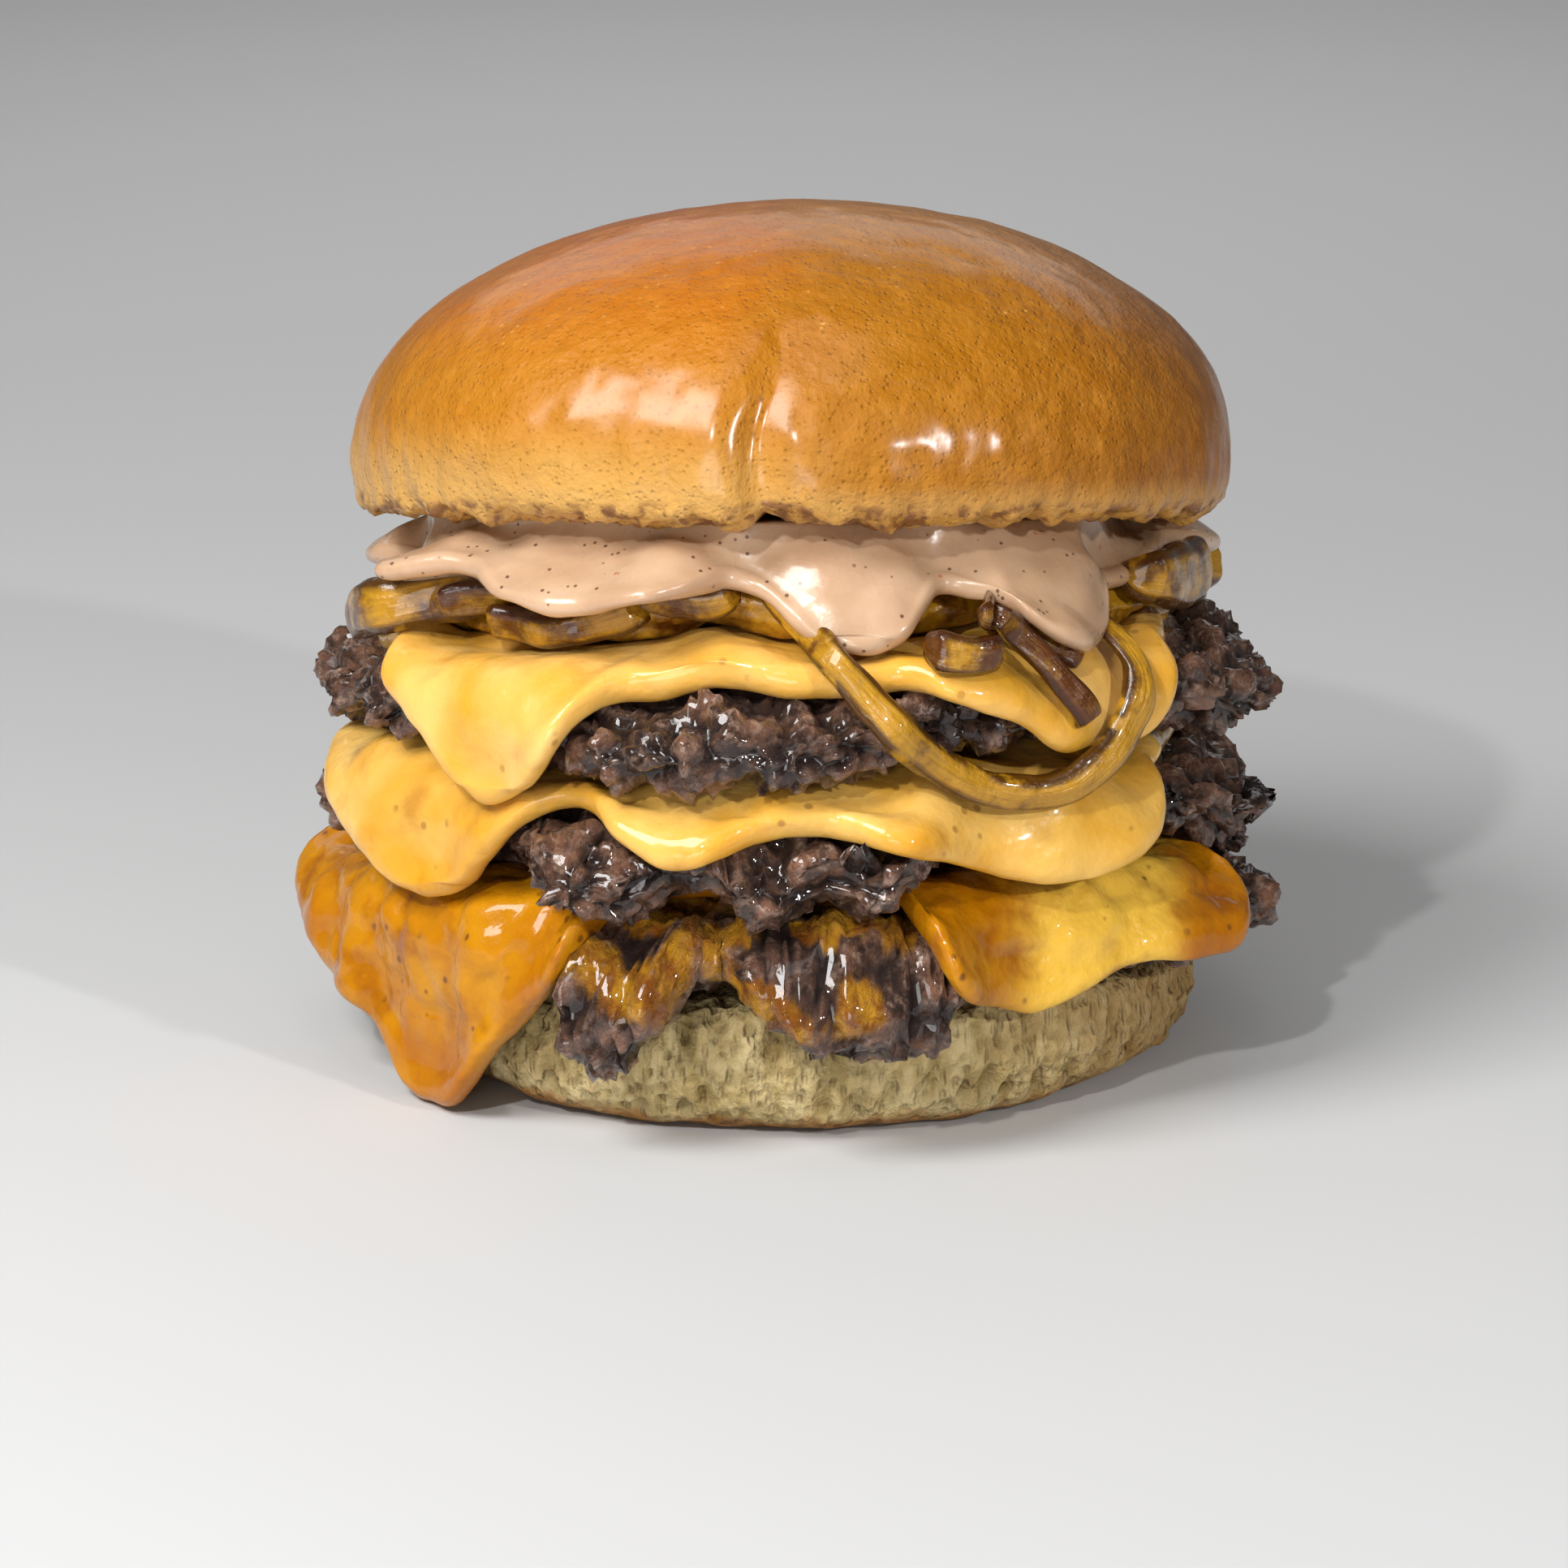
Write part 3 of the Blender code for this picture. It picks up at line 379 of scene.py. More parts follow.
def walk(stack, bend, cling, spread, columns=5, cells=4):
    """The lines that a layer's underside follows, as radius, height and slope, one column for each step."""
    top, reach = stack.soft(columns, cells)
    r = np.zeros(COLUMNS)
    z = np.full(COLUMNS, top[:, 0].max() + GAP)
    slope = np.zeros(COLUMNS)
    hanging = np.zeros(COLUMNS, bool)
    line = [(r, z)]
    for _ in range(int(WALK / STEP)):
        new_r = r + STEP * np.cos(slope)
        new_z = z - STEP * np.sin(slope)
        support = np.maximum(picked(top, new_r / CELL), picked(top, new_r / CELL + 1)) + GAP
        carried = (new_z <= support) & ~hanging
        new_z = np.where(carried, np.minimum(support, z + STEP), new_z)
        beside = picked(reach, new_z / CELL) + GAP
        pushed = hanging & (new_r < beside)
        new_r = np.where(pushed, np.minimum(beside, r + STEP), new_r)
        rest_slope = np.clip(np.arctan2(z - new_z, np.maximum(new_r - r, 1e-6)), -0.5, 1.2)
        slope = np.where(carried, 0.7 * slope + 0.3 * rest_slope, slope + bend * STEP)
        slope = np.where(pushed, math.pi / 2, np.minimum(slope, math.pi / 2 + cling))
        hanging |= slope > 1.35
        r, z = new_r, new_z
        line.append((r, z))
    r, z = (evened(evened(np.array(values).T, spread), 2.5, 1) for values in zip(*line))
    r[:, 0] = 0
    return r, z, np.arctan2(-np.gradient(z, axis=1), np.gradient(r, axis=1))


def ends(line, shortest, lowest):
    """Length at which each column's walk stops: where it has sunk to its lowest height, past its shortest."""
    _, z, _ = line
    steps = np.arange(z.shape[1]) * STEP
    sunk = (z <= lowest[:, None]) & (steps[None, :] >= shortest[:, None])
    return np.where(sunk.any(1), sunk.argmax(1), z.shape[1] - 1) * STEP


def at_length(values, length):
    """Values of a walk at one length for each column."""
    place = np.clip(length / STEP, 0, values.shape[1] - 1.001)
    step = place.astype(int)
    rows = np.arange(COLUMNS)
    return values[rows, step] * (step + 1 - place) + values[rows, step + 1] * (place - step)


def sheet(line, end, thickness, rows, rim_rows=12):
    """A layer over its line: points from its top's middle round its rounded rim to its underside's middle.

    thickness is a function of the length and of what is left of it to the rim. The lengths come back too.
    """
    r, z, tilt = line
    half = thickness(end, 0 * end) / 2
    body = end - half
    spots = [(0 * end, thickness(0 * end, end)), (0 * end + FLAT / 2, thickness(0 * end + FLAT / 2, end))]
    for share in np.linspace(0, 1, rows):
        length = FLAT + (body - FLAT) * share
        spots.append((length, thickness(length, end - length)))
    for turn in np.linspace(0, math.pi, rim_rows + 2)[1:-1]:
        spots.append((body + half * math.sin(turn), half * (1 + math.cos(turn))))
    for share in np.linspace(1, 0, rows // 3):
        spots.append((FLAT + (body - FLAT) * share, 0 * end))
    spots += [(0 * end + FLAT / 2, 0 * end), (0 * end, 0 * end)]
    radius, height = [], []
    for length, offset in spots:
        slope = at_length(tilt, length)
        radius.append(np.maximum(at_length(r, length) + offset * np.sin(slope), 0))
        height.append(at_length(z, length) + offset * np.cos(slope))
    radius, height = np.array(radius).T, np.array(height).T
    radius[:, [0, -1]] = 0
    height[:, [0, -1]] = height[:, [0, -1]].mean(0)
    return placed(radius, height), np.array([length for length, _ in spots]).T


def skin(name, points, finish, marks=None):
    """The closed skin through a grid of points, columns by rows between two poles, as an object."""
    columns, rows, _ = points.shape
    cloth = bmesh.new()
    bmesh.ops.create_grid(cloth, x_segments=columns, y_segments=rows - 1, size=1.0)
    mesh = bpy.data.meshes.new(name)
    cloth.to_mesh(mesh)
    flat = np.empty(len(mesh.vertices) * 3)
    mesh.vertices.foreach_get("co", flat)
    x, y, _ = flat.reshape(-1, 3).T
    turn = np.rint((x + 1) / 2 * columns).astype(int)
    row = np.rint((1 - y) / 2 * (rows - 1)).astype(int)
    mesh.vertices.foreach_set("co", (points[turn % columns, row] * MM).ravel())
    for mark, values in (marks or {}).items():
        mesh.attributes.new(mark, "FLOAT", "POINT").data.foreach_set("value", values[turn % columns, row])
    cloth.clear()
    cloth.from_mesh(mesh)
    cloth.verts.ensure_lookup_table()
    seam = np.flatnonzero((turn % columns == 0) | (row == 0) | (row == rows - 1))
    bmesh.ops.remove_doubles(cloth, verts=[cloth.verts[index] for index in seam.tolist()], dist=1e-7)
    cloth.to_mesh(mesh)
    cloth.free()
    mesh.shade_smooth()
    mesh.materials.append(finish)
    piece = bpy.data.objects.new(f"{name}_looks", mesh)
    bpy.context.scene.collection.objects.link(piece)
    return piece


def stand_for(piece, node):
    """The piece rides on the burger and is shown instead of its solid."""
    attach(piece, "root")
    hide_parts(node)


# Layers

def outline(corners, spacing):
    """Evenly spaced points of a smooth line through some corners, as rows of radius and height."""
    corners = np.array(corners, float)
    lengths = np.cumsum([0, *np.hypot(*np.diff(corners, axis=0).T)])
    even = np.linspace(0, lengths[-1], round(lengths[-1] / spacing) + 1)
    line = np.stack([np.interp(even, lengths, column) for column in corners.T])
    rounded = evened(line, 1.2 / spacing, 1)
    rounded[:, [0, -1]] = line[:, [0, -1]]
    return rounded


def heel(stack, finish):
    """Bottom half of the bun, cut side out: torn porous crumb over a thin crust at the foot."""
    bulge = [(HEEL_RADIUS - inside, share) for inside, share in HEEL_SIDE]
    corners = [(40, 1), *bulge, (HEEL_FOOT, 0), (36, 0)]
    side = outline([(r, share * HEEL_EDGE) for r, share in corners], 0.5)
    radius = np.tile([0, 20, *side[0], 20, 0], (COLUMNS, 1))
    share = np.array([1, 1, *np.clip(side[1] / HEEL_EDGE, 0, 1), 0, 0])
    cut = HEEL_TOP + lean(radius.T, HEEL_LEAN).T
    points = placed(radius, cut * share)
    shown = np.clip((radius - 38) / 6, 0, 1) * np.clip(points[..., 2] / 0.6, 0, 1)
    crumb = np.clip((points[..., 2] - 1.6) / 1.5, 0, 1)
    streaked = points * np.array([1, 1, 0.3])
    coarse = pits(streaked, 3.4, 3, 0.42) * np.clip(0.6 + 1.2 * swells(points, 9, 5), 0, 1)
    fine = pits(points, 1.5, 8, 0.5)
    amount = 0.7 * swells(points, 16, 3) + 0.45 * swells(points, 5, 4)
    amount += crumb * (-1.9 * coarse - 0.6 * fine + 0.5 * swells(streaked, 1.3, 6))
    points = raised(points, amount * shown)
    points[..., 2] = np.maximum(points[..., 2], 0)
    stack.add(points)
    # The hole mark carries painted shade, which the crumb's finish puts into the pores.
    piece = skin("bun_heel", points, finish, {"hole": crumb * np.clip(coarse + 0.6 * fine, 0, 1)})
    stand_for(piece, "bun_heel")


def patty(stack, name, seed, finish):
    """Ground beef smashed on the griddle: lumps and deep clefts on the face and a ragged rim."""
    rim = round_the_rim(RIM, 8.0 * seed)
    ragged = 1.5 * swells(rim, 8, seed) + 1.3 * (lumps(rim, 6.5, seed + 1) - 0.5)
    ragged += 0.7 * swells(rim, 2.4, seed)
    end = around(PATTY_REACH[name]) + ragged[:, 0]
    line = walk(stack, around(PATTY_BEND[name]), cling=0.1, spread=3)

    def thickness(length, left):
        left = np.maximum(left, 5.5)
        flap = np.clip((end - 55) / 5, 0, 1) * np.clip((14 - left) / 14, 0, 1)
        return PATTY_THICKNESS * (1 - 0.4 * flap) + lean(length, PATTY_LEANS[name])

    points, length = sheet(line, end, thickness, rows=36, rim_rows=18)
    craggy = np.clip(2.0 - (end[:, None] - length) / 10, 0, 1) * (length > FLAT)
    big = lumps(points, 8.5, seed)
    small = lumps(points, 3.9, seed + 2)
    grains = lumps(points, 1.9, seed + 4)
    amount = 2.8 * (big - 0.8) + 1.7 * (small - 0.75) + 0.9 * (grains - 0.6)
    amount += 0.35 * swells(points, 1.3, seed)
    amount += swells(points, 13, seed + 6)
    aside = np.abs(FROM_FRONT - SMEAR_MIDDLE)
    smeared = np.clip((points[..., 2] - SMEAR_FOOT) / 5, 0, 1) * np.clip((SMEAR_HALF - aside) / 8, 0, 1)
    glaze = smeared * np.clip(0.62 + 2.2 * swells(points, 8, 44) - 0.4 * small, 0, 1)
    glaze = glaze * (name == "patty_bottom")
    amount = amount * (1 - 0.4 * glaze) + 0.5 * glaze
    points = raised(points, amount * craggy)
    stack.add(points)
    # The cleft mark is near 1 deep in a cleft, where the beef's finish paints shade.
    cleft = np.clip(1 - 0.5 * big - 0.35 * small - 0.2 * grains, 0, 1)
    piece = skin(name, points, finish, {"cleft": cleft, "glaze": glaze})
    stand_for(piece, name)


def cheese(stack, name, seed, finish):
    """A square slice melted over the patty: its corners run down the sides and end in a thick round bead."""
    line = walk(stack, around(CHEESE_BENDS[name]), CHEESE_CLINGS[name], spread=4)
    rim = round_the_rim(RIM, 6.0 * seed)
    waves = 0.9 * swells(rim, 11, seed) + 0.35 * swells(rim, 4.5, seed)
    covered = around(SLICE_REACH) - around(BARED) * (name == "cheese_bottom")
    end = evened(ends(line, covered, around(CHEESE_EDGE[name]) + 0.6) + waves[:, 0], 2)

    def thickness(length, left):
        return CHEESE_THICKNESS + CHEESE_BEAD * np.exp(-((np.maximum(left - 2, 0) / 3) ** 2))

    points, length = sheet(line, end, thickness, rows=56, rim_rows=14)
    shown = np.clip((length - FLAT) / 8, 0, 1)
    left = end[:, None] - length
    runs = swells(points * np.array([1, 1, 0.35]), 7, seed + 3)
    amount = 0.55 * swells(points, 15, seed) + 0.5 * runs * np.clip(left / 5, 0, 1)
    amount += 0.14 * swells(points, 3, seed)
    lumpy = 0.9 * (lumps(points, 9, 37) - 0.6) + 0.5 * swells(points, 4, 38)
    amount += lumpy * np.clip(left / 6, 0, 1) * (name == "cheese_bottom")
    points = raised(points, amount * shown)
    points[..., 2] = np.maximum(points[..., 2], 0.1)
    stack.add(points)
    stand_for(skin(name, points, finish), name)


def onion_bed(stack, finish):
    """The soft heap of fried onion between cheese and sauce, strand beside strand."""
    rim = round_the_rim(BED_RIM, 0.0)
    end = around(BED_REACH) + 1.8 * swells(rim, 9, 21)[:, 0]
    line = walk(stack, np.full(COLUMNS, 0.06), cling=0.1, spread=4)

    def thickness(length, left):
        return ONION_BED_THICKNESS + lean(length, ONION_BED_LEAN)

    points, length = sheet(line, end, thickness, rows=24)
    strands = points * np.array([0.35, 0.35, 1.6])
    amount = 1.2 * (lumps(strands, 5.5, 40) - 0.5) + 0.5 * swells(strands, 2.5, 41)
    points = raised(points, amount * np.clip((length - FLAT) / 6, 0, 1))
    stack.add(points)
    side = np.zeros(points.shape[:2])
    piece = skin("onion_bed", points, finish, {"across": side, "run": length / 10})
    stand_for(piece, "onion_bed")


def sauce(stack, finish):
    """Pink sauce that fills the room under the crown and runs down over the onions in thick scallops."""
    line = walk(stack, np.full(COLUMNS, 0.12), cling=0.3, spread=4, columns=14, cells=6)
    r, z, slope = line
    neck = around(SAUCE_NECK)
    end = evened(ends(line, around(SAUCE_REACH), around(SAUCE_EDGE, 1.2) - 0.8), 2)
    room = crown_plane(neck) - GAP - at_length(z, neck)
    radius, height = [0 * neck], [crown_plane(0 * neck) - GAP]
    half = SAUCE_LIP / 2
    body = end - half

    def put(length, offset, flare):
        radius.append(at_length(r, length) + offset * np.sin(flare))
        height.append(at_length(z, length) + offset * np.cos(flare))

    for share in np.linspace(0, 1, SAUCE_ROWS):
        length = neck + (body - neck) * share
        flare = at_length(slope, length) * min(share * 1.5, 1)
        put(length, 2 * half + np.maximum(room - 2 * half, 0) * (1 - share) ** 1.8, flare)
    for turn in np.linspace(0, math.pi, SAUCE_RIM_ROWS)[1:-1]:
        length = body + half * math.sin(turn)
        put(length, half * (1 + math.cos(turn)), at_length(slope, length))
    for share in np.linspace(1, 0, SAUCE_RIM_ROWS):
        length = neck + (body - neck) * share
        put(length, 0 * neck, at_length(slope, length))
    radius.append(0 * neck)
    height.append(0 * neck + z[:, 0].max())
    points = placed(np.array(radius).T, np.array(height).T)
    shown = np.clip((np.hypot(points[..., 0], points[..., 1]) - 44) / 4, 0, 1)
    amount = 0.7 * swells(points, 10, 51) + 0.3 * swells(points, 4.5, 52)
    points = raised(points, amount * shown)
    flat_radius = np.hypot(points[..., 0], points[..., 1])
    points[..., 2] = np.minimum(points[..., 2], crown_plane(flat_radius.T).T - GAP)
    stand_for(skin("burger_sauce", points, finish), "burger_sauce")


def crown(finish):
    """Domed glossy top of the bun, leaning back on its cut, pinched at the front, with a torn rim."""
    dome = []
    for turn in np.linspace(0, math.pi / 2, 90):
        rise = (CROWN_HEIGHT - CROWN_BELLY) * math.cos(turn)
        dome.append((CROWN_RADIUS * math.sin(turn), CROWN_BELLY + rise))
    dome += [(CROWN_RADIUS - inside, above) for inside, above in CROWN_RIM]
    radius, level = outline(dome, 0.8)
    radius = np.tile([*radius, 30, 0], (COLUMNS, 1))
    level = np.tile([*level, 0, 0], (COLUMNS, 1))
    points = placed(radius, level)
    side = np.clip(radius / 40, 0, 1) * np.clip(level / 2, 0, 1)
    wander = FROM_FRONT - CREASE_AT + 1.5 * np.sin(level / 5)
    low = np.clip((CREASE_TOP - level) / 14, 0, 1)
    fold = -np.tanh(wander / 1.3) * np.exp(-((wander / 9) ** 2)) * low
    hollow = np.exp(-((wander / 3.0) ** 2)) * low
    amount = 0.8 * swells(points, 24, 11) * side + 1.1 * fold - 1.0 * hollow
    upright = points * np.array([1, 1, 0.45])
    leathery = np.clip((16 - level) / 10, 0, 1)
    amount += (0.16 * swells(points, 6, 12) + 0.05 * swells(points, 2.2, 13)) * np.clip(level / 2, 0, 1)
    amount += leathery * (0.42 * swells(upright, 5, 17) + 0.2 * swells(upright, 2.2, 18)) * (level > 0)
    torn = np.clip(1 - level / TORN_HEIGHT, 0, 1) * np.clip((radius - 45) / 4, 0, 1)
    amount += torn * (1.0 * swells(points, 4, 14) + 0.7 * swells(points, 1.6, 15))
    points = raised(points, amount)
    points[..., 2] += torn * (0.9 * swells(points, 7, 16) + 0.5 * swells(points, 2.6, 19))
    rise = np.clip((level - CROWN_BELLY) / (CROWN_HEIGHT - CROWN_BELLY), 0, 1)
    points[..., 0] += CROWN_APEX_SHIFT * rise
    cosine, sine = math.cos(CROWN_TILT), math.sin(CROWN_TILT)
    x, y, h = points[..., 0], points[..., 1], points[..., 2]
    points = np.stack([x, y * cosine + h * sine, CROWN_PLANE + h * cosine - y * sine], axis=2)
    piece = skin("bun_crown", points, finish, {"level": level / CROWN_HEIGHT, "torn": torn})
    stand_for(piece, "bun_crown")


# Onions

def onion_piece(stack, name, route, width, thick, finish):
    """A fried strip that lies against the side of the stack, ribbed lengthwise, with its ends tucked in."""
    sides, stations = 28, 30 * len(route)
    knots = np.arange(len(route))
    fine = np.linspace(0, len(route) - 1, stations + 1)
    degrees, heights = evened(np.stack([np.interp(fine, knots, way) for way in zip(*route)]), 14, 1)
    reach = bridged(stack.reach, 4, 3)
    far = []
    for angle, height in zip(degrees, heights):
        columns = (np.arange(-3, 4) + round(angle / 360 * COLUMNS)) % COLUMNS
        levels = height + width / 2 * np.linspace(-1, 1, 7)
        cells = np.clip((levels / CELL).astype(int), 0, HEIGHT_CELLS - 1)
        far.append(reach[columns[:, None], cells[None, :]].max(1).mean())
    share = np.linspace(-1, 1, stations + 1)
    tucked = 2.5 * np.clip(np.abs(share) * 4 - 3, 0, 1)
    far = evened(np.array([far]), 9, 1)[0] + GAP + thick / 2 - tucked
    turn = np.radians(degrees)
    centres = np.stack([far * np.sin(turn), -far * np.cos(turn), heights], axis=1)
    run = np.cumsum(np.linalg.norm(np.gradient(centres, axis=0), axis=1))
    out = centres * np.array([1, 1, 0])
    out /= np.linalg.norm(out, axis=1, keepdims=True)
    wide = np.cross(out, np.gradient(centres, axis=0))
    wide /= np.linalg.norm(wide, axis=1, keepdims=True)
    wobble = swells(centres, 9, 63)
    twist = 0.5 * swells(centres, 14, 62)[:, None]
    wide, out = wide * np.cos(twist) + out * np.sin(twist), out * np.cos(twist) - wide * np.sin(twist)
    taper = np.sqrt(np.clip(1 - np.abs(share) ** 6, 0, 1))
    ring = np.arange(sides) * 2 * math.pi / sides
    flat = np.abs(np.cos(ring)) ** 0.75 * np.sign(np.cos(ring))
    across = (width / 2 * (1 + 0.25 * wobble) * taper)[None, :] * flat[:, None]
    away = (thick / 2 * (1 - 0.2 * wobble) * taper)[None, :] * np.sin(ring)[:, None]
    points = centres[None] + wide[None] * across[..., None] + out[None] * away[..., None]
    lengthwise = np.broadcast_arrays(flat[:, None] * width / 2, np.sin(ring)[:, None], 0.12 * run)
    lengthwise = np.stack(lengthwise, axis=2)
    ribs = 0.3 * swells(lengthwise, 0.9, 60) + 0.35 * swells(points, 5, 61)
    points = raised(points, ribs * taper)
    points[:, [0, -1]] = centres[[0, -1]][None]
    stack.add(points)
    marks = {"across": flat[:, None] + 0 * across, "run": run[None, :] + 0 * across}
    stand_for(skin(name, points, finish, marks), name)


# Finishes

class Value:
    """Something that a finish's nodes work out. Python's operators on it add Math nodes."""

    def __init__(self, finish, socket):
        self.finish = finish
        self.socket = socket

    def maths(self, operation, *values):
        return self.finish.node("ShaderNodeMath", {"operation": operation}, dict(enumerate(values)))

    def __add__(self, other):
        return self.maths("ADD", self, other)

    def __radd__(self, other):
        return self.maths("ADD", other, self)

    def __sub__(self, other):
        return self.maths("SUBTRACT", self, other)

    def __rsub__(self, other):
        return self.maths("SUBTRACT", other, self)

    def __mul__(self, other):
        return self.maths("MULTIPLY", self, other)

    def __rmul__(self, other):
        return self.maths("MULTIPLY", other, self)

    def between(self, low, high):
        """0 at low, 1 at high, eased between them."""
        settings = {"interpolation_type": "SMOOTHSTEP"}
        inputs = {"Value": self, "From Min": low, "From Max": high}
        return self.finish.node("ShaderNodeMapRange", settings, inputs)


class Finish:
    """A material of the burger: a shader with constant settings, fed by what its other nodes work out."""

    def __init__(self, name, **constants):
        self.material = bpy.data.materials.new(name)
        self.material.use_nodes = True
        self.tree = self.material.node_tree
        self.shader = self.tree.nodes["Principled BSDF"]
        for socket, value in constants.items():
            self.shader.inputs[socket.replace("_", " ").title().replace("Ior", "IOR")].default_value = value
        self.place = self.node("ShaderNodeTexCoord", output="Object")

    def node(self, kind, settings=None, inputs=None, output=0):
        node = self.tree.nodes.new(kind)
        for name, value in (settings or {}).items():
            setattr(node, name, value)
        for name, value in (inputs or {}).items():
            self.feed(node.inputs[name], value)
        return Value(self, node.outputs[output])

    def feed(self, socket, value):
        if isinstance(value, Value):
            self.tree.links.new(value.socket, socket)
        elif isinstance(value, tuple) and len(value) == 3 and len(socket.default_value) == 4:
            socket.default_value = (*value, 1.0)
        else:
            socket.default_value = value

    def mark(self, name):
        """A value that the piece's skin carries at each point."""
        return self.node("ShaderNodeAttribute", {"attribute_name": name}, output="Fac")

    def sideways(self):
        return self.node("ShaderNodeSeparateXYZ", inputs={0: self.place}, output=0)

    def height(self):
        return self.node("ShaderNodeSeparateXYZ", inputs={0: self.place}, output=2)

    def stretched(self, x, y, z):
        return self.node("ShaderNodeMapping", inputs={"Vector": self.place, "Scale": (x, y, z)})

    def noise(self, size, detail=3.0, rough=0.5, place=None, warp=0.0):
        """Noise with features of a size in millimetres."""
        inputs = {"Vector": place or self.place, "Scale": 1 / (size * MM), "Detail": detail}
        inputs.update({"Roughness": rough, "Distortion": warp})
        return self.node("ShaderNodeTexNoise", inputs=inputs)

    def cells(self, size, place=None):
        """Distance to the nearest of some scattered places, a size in millimetres apart."""
        inputs = {"Vector": place or self.place, "Scale": 1 / (size * MM)}
        return self.node("ShaderNodeTexVoronoi", inputs=inputs, output="Distance")

    def mix(self, share, first, second):
        """The first colour at a share of 0, the second at 1: sockets 0, 6 and 7 of a colour mix."""
        return self.node("ShaderNodeMix", {"data_type": "RGBA"}, {0: share, 6: first, 7: second}, output=2)

    def bump(self, height, depth, strength=1.0):
        """A bump of a depth in millimetres."""
        inputs = {"Strength": strength, "Distance": depth * MM, "Height": height}
        self.feed(self.shader.inputs["Normal"], self.node("ShaderNodeBump", inputs=inputs))

    def colour(self, value):
        self.feed(self.shader.inputs["Base Color"], value)

    def roughness(self, value):
        self.feed(self.shader.inputs["Roughness"], value)


def crust_finish():
    """Egg-washed crust: brown on top, orange on the belly, tan at the cut, with pale blisters and pores, and
    painted shade that darkens it right of the crease and more towards its right side.
    """
    finish = Finish("glazed crust", specular_ior_level=0.2, coat_weight=0.6, coat_roughness=0.2)
    level = finish.mark("level") + (finish.noise(16, 3) - 0.5) * 0.2
    baked_and_shaded = finish.mix(level.between(0.06, 0.36), (0.54, 0.29, 0.065), (0.42, 0.15, 0.002))
    baked_and_shaded = finish.mix(level.between(0.36, 0.72), baked_and_shaded, (0.44, 0.125, 0.0))
    baked_and_shaded = finish.mix(level.between(0.7, 1.0), baked_and_shaded, (0.37, 0.095, 0.0))
    # Painted shade: the crust is darkened right of the crease and more towards its right side.
    aside = finish.sideways() + (finish.noise(22, 2) - 0.5) * 0.03
    baked_and_shaded = finish.mix(aside.between(-0.01, 0.01), baked_and_shaded, (0.33, 0.115, 0.0))
    baked_and_shaded = finish.mix(aside.between(0.015, 0.055) * 0.6, baked_and_shaded, (0.22, 0.06, 0.0))
    pale = finish.mark("level").between(0.14, 0.04)
    baked_and_shaded = finish.mix(pale * 0.6, baked_and_shaded, (0.55, 0.3, 0.07))
    mottle = finish.noise(3.5, 4, 0.6).between(0.35, 0.75)
    baked_and_shaded = finish.mix(mottle * 0.25, baked_and_shaded, (0.6, 0.26, 0.03))
    speck = finish.cells(1.7).between(0.2, 0.1) * finish.noise(9).between(0.5, 0.62)
    speck = speck * level.between(0.25, 0.6)
    baked_and_shaded = finish.mix(speck * 0.45, baked_and_shaded, (0.66, 0.36, 0.09))
    char = finish.noise(2.4, 4).between(0.46, 0.62) * finish.mark("torn").between(0.1, 0.6)
    baked_and_shaded = finish.mix(char * 0.85, baked_and_shaded, (0.13, 0.035, 0.006))
    finish.colour(baked_and_shaded)
    finish.roughness(0.6 - level.between(0.1, 0.5) * 0.2 + finish.noise(5, 3) * 0.14)
    pores = finish.cells(0.9).between(0.0, 0.35) * 0.5 + finish.noise(0.7, 3) * 0.6
    pores = pores + finish.noise(3.2, 4) * 2.4
    finish.bump(pores, 0.45, 0.85)
    return finish.material


def crumb_finish():
    """Pale bread crumb full of holes, with painted shade in the holes and a thin brown crust at the foot."""
    finish = Finish("bread crumb", specular_ior_level=0.3, subsurface_weight=0.15, subsurface_scale=0.003)
    streaked = finish.stretched(1, 1, 0.35)
    mottle = finish.noise(2.6, 4, 0.6, streaked).between(0.3, 0.7)
    crumb = finish.mix(mottle, (0.4, 0.29, 0.11), (0.62, 0.49, 0.25))
    # Painted shade: the crumb is darkened in its holes.
    crumb = finish.mix(finish.mark("hole") * 0.85, crumb, (0.2, 0.125, 0.035))
    side = finish.sideways() + (finish.noise(9, 4) - 0.5) * 0.04
    crumb = finish.mix(side.between(0.018, 0.045) * 0.6, crumb, (0.26, 0.13, 0.03))
    low = finish.height() + (finish.noise(7, 3) - 0.5) * 0.006
    crusty = low.between(0.0036, 0.0012)
    toasted = finish.mix(finish.noise(2, 4).between(0.35, 0.65), (0.2, 0.08, 0.012), (0.42, 0.2, 0.045))
    finish.colour(finish.mix(crusty, crumb, toasted))
    finish.roughness(0.85 - crusty * 0.35)
    holes = finish.cells(1.1, place=streaked).between(0.0, 0.5) + finish.noise(0.6, 3) * 0.7
    finish.bump(holes, 0.7, 1.0)
    return finish.material


